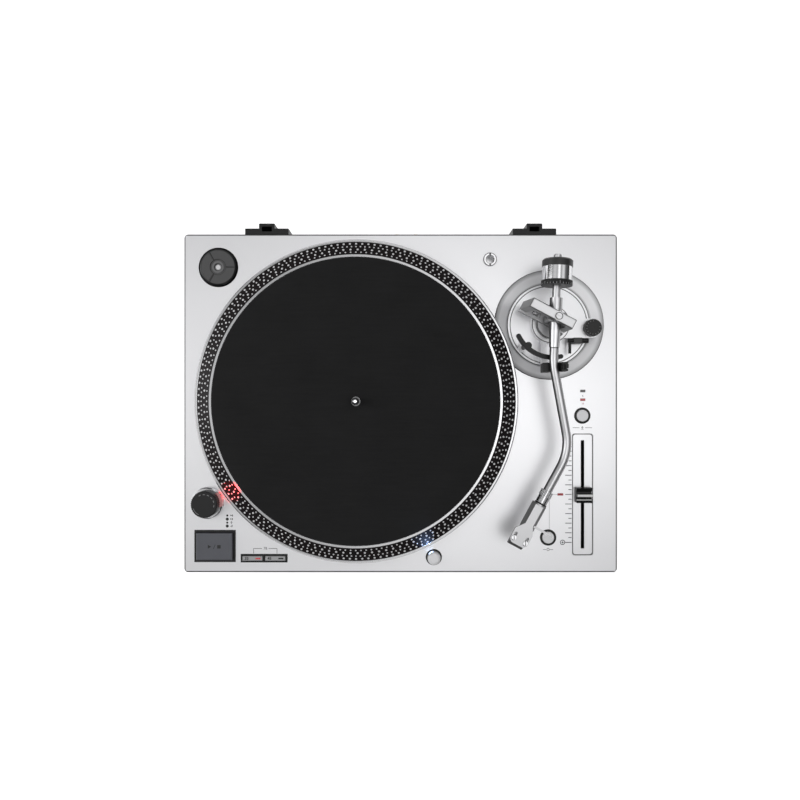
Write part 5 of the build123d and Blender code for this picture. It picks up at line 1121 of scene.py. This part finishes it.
# Weight dial: ticks round its rim
DIAL_R = 15.25 * MM
DIAL_FRONT = 31.8 * MM
DIAL_SINK = 0.1 * MM
DIAL_PROUD = 0.02 * MM
DIAL_TICKS = 30
DIAL_LONG_EVERY = 5
DIAL_LONG = 2.6 * MM
DIAL_SHORT = 1.5 * MM
TICK_HALF = 0.22 * MM
arm_plane = Matrix.Translation((*PIVOT, ARM_LEVEL)) @ Matrix.Rotation(ARM_TURN, 4, "Z")
dial_shape = bmesh.new()
for i in range(DIAL_TICKS):
    stand = arm_plane @ Matrix.Rotation(2 * math.pi * i / DIAL_TICKS, 4, "Y")
    length = DIAL_SHORT if i % DIAL_LONG_EVERY else DIAL_LONG
    corners = box_outline(-TICK_HALF, TICK_HALF, DIAL_FRONT, DIAL_FRONT + length)
    low = [dial_shape.verts.new(stand @ Vector((*corner, DIAL_R - DIAL_SINK))) for corner in corners]
    high = [dial_shape.verts.new(stand @ Vector((*corner, DIAL_R + DIAL_PROUD))) for corner in corners]
    add_block(dial_shape, low, high)
piece("dial_ticks", mesh_of("dial_ticks", dial_shape), ink_pale, "dial", smooth=False)

# Phono jacks: an insulating ring round each barrel, one white and one red
JACK_RING = [(4.3, 0.05), (6.0, 0.05), (6.0, 1.0), (5.6, 1.4), (4.3, 1.4)]
JACK_BARREL = 7.2 * MM
jack_low, jack_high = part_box("rca_jacks")
jack_flange_r = (jack_high.z - jack_low.z) / 2
jack_z = (jack_high.z + jack_low.z) / 2
outward = Matrix.Rotation(-math.pi / 2, 4, "X")
jack_tones = {
    "white": (jack_high.x - jack_flange_r, tint(0.75)),
    "red": (jack_low.x + jack_flange_r, (0.5, 0.03, 0.03)),
}
for label, (jack_x, tone) in jack_tones.items():
    ring = lathe(f"jack_ring_{label}", [(r * MM, z * MM) for r, z in JACK_RING], RING_SIDES)
    ring.transform(Matrix.Translation((jack_x, jack_high.y - JACK_BARREL, jack_z)) @ outward)
    piece(f"jack_ring_{label}", ring, plastic(f"jack_{label}", tone, 0.35), "chassis")

# Floor
FLOOR_HALF = 6.0
FLOOR_TONE = tint(0.92, 1.0)
FLOOR_ROUGHNESS = 0.8
FLOOR_LIGHT = 0.62
floor_mesh = bpy.data.meshes.new("floor")
floor_corners = [(*corner, 0) for corner in box_outline(-FLOOR_HALF, FLOOR_HALF, -FLOOR_HALF, FLOOR_HALF)]
floor_mesh.from_pydata(floor_corners, [], [(0, 1, 2, 3)])
floor = bpy.data.objects.new("floor", floor_mesh)
bpy.context.scene.collection.objects.link(floor)
floor_paint = Shader("floor_paint", FLOOR_TONE, 0.0, FLOOR_ROUGHNESS)
floor_paint.vary(floor_paint.noise(3.0, 2.0), FLOOR_TONE, 0.01, FLOOR_ROUGHNESS, 0.05)
floor_paint.set("Emission Color", (1, 1, 1, 1))
floor_paint.set("Emission Strength", FLOOR_LIGHT)
floor_mesh.materials.append(floor_paint.material)


# Lamps
SPOT_BLEND = 0.35
SPOT_SOFT = 1.5 * MM
CONE_LIT = 18 * MM


def place_light(name, kind, at, towards, energy, colour=(1, 1, 1)):
    data = bpy.data.lights.new(name, kind)
    data.energy = energy
    data.color = colour
    made = bpy.data.objects.new(name, data)
    made.location = at
    made.rotation_euler = (Vector(towards) - Vector(at)).to_track_quat("-Z", "Y").to_euler()
    bpy.context.scene.collection.objects.link(made)
    return data


def softbox(name, at, towards, size, energy):
    data = place_light(name, "AREA", at, towards, energy)
    data.shape = "RECTANGLE"
    data.size, data.size_y = size


def spot(name, at, towards, energy, colour, angle):
    data = place_light(name, "SPOT", at, towards, energy, colour)
    data.spot_size = math.radians(angle)
    data.spot_blend = SPOT_BLEND
    data.shadow_soft_size = SPOT_SOFT


def on_cone(towards, radius):
    """A point on the platter's cone, on the side of a plan position."""
    return Vector((*(SPINDLE + (towards - SPINDLE).normalized() * radius), DECK + CONE_LIT))


softbox("key_softbox", at=(0.36, 0.02, 1.6), towards=(0.12, 0.0, 0.08), size=(0.45, 0.8), energy=1.2)
softbox("fill_softbox", at=(-1.4, 0.1, 0.8), towards=(0.0, 0.0, 0.08), size=(0.7, 1.0), energy=7.0)
STROBE_WAY = POD + Vector((3.0, -4.0)) * MM
STROBE_ABOVE = Vector((0, 0, 27 * MM))
STROBE_R = (159 * MM, 156 * MM)
STROBE_RED = (1.0, 0.003, 0.006)
TARGET_ABOVE = 26 * MM
TARGET_R = 153 * MM
TARGET_BLUE = (0.35, 0.55, 1.0)
strobe_from, strobe_to = [on_cone(STROBE_WAY, radius) for radius in STROBE_R]
spot("strobe_glow", strobe_from + STROBE_ABOVE, strobe_to, energy=0.095, colour=STROBE_RED, angle=48)
target_from = (*LAMP, DECK + TARGET_ABOVE)
spot("target_glow", target_from, on_cone(LAMP, TARGET_R), energy=0.03, colour=TARGET_BLUE, angle=50)

# Studio surroundings: a bright strip overhead, softer panels beside it, dark low down, and a pale backdrop
SKY_ACROSS = [
    (-1.0, 0.1), (-0.93, 0.2), (-0.86, 0.9), (-0.78, 0.9), (-0.72, 0.6), (-0.62, 1.1), (-0.48, 1.25),
    (-0.32, 1.1), (-0.2, 0.85), (-0.12, 1.0), (-0.04, 1.95), (0.05, 2.25), (0.15, 2.25), (0.22, 1.5),
    (0.3, 0.72), (0.4, 0.7), (0.5, 1.3), (0.66, 1.3), (0.76, 0.5), (0.85, 0.2), (1.0, 0.1),
]
SKY_ALONG = [
    (-1.0, 0.1), (-0.5, 0.1), (-0.3, 0.35), (-0.2, 0.68), (-0.1, 0.78), (-0.03, 1.36), (0.03, 1.36),
    (0.1, 0.76), (0.2, 0.56), (0.3, 0.4), (0.55, 0.4), (0.8, 0.2), (1.0, 0.1),
]
SKY_LOW = (-0.05, 0.3)
SKY_DIM = 0.3
BACKDROP = 0.96
world = bpy.data.worlds.new("studio")
bpy.context.scene.world = world
world.use_nodes = True
sky = Nodes(world.node_tree)
direction = sky.add("ShaderNodeTexCoord").outputs["Generated"]
sky_x, sky_y, sky_z = sky.add("ShaderNodeSeparateXYZ", {0: direction}).outputs
dome = sky.times(sky.ramp(sky_x, SKY_ACROSS), sky.ramp(sky_y, SKY_ALONG))
tone = sky.times(dome, sky.spread(sky_z, SKY_DIM, 1.0, *SKY_LOW))
ceiling = world.node_tree.nodes["Background"]
sky.feed(ceiling.inputs[0], tone)
backdrop = sky.add("ShaderNodeBackground", {0: (BACKDROP, BACKDROP, BACKDROP, 1)})
seen = sky.add("ShaderNodeLightPath").outputs["Is Camera Ray"]
either = sky.add("ShaderNodeMixShader", {0: seen, 1: ceiling.outputs[0], 2: backdrop.outputs[0]})
sky.feed(world.node_tree.nodes["World Output"].inputs[0], either.outputs[0])

# Camera
camera_data = bpy.data.cameras.new("camera")
camera_data.lens = CAMERA_LENS
camera_data.sensor_width = CAMERA_SENSOR
camera = bpy.data.objects.new("camera", camera_data)
camera.location = CAMERA_AT
bpy.context.scene.collection.objects.link(camera)
bpy.context.scene.camera = camera
bpy.context.scene.view_settings.view_transform = "Standard"
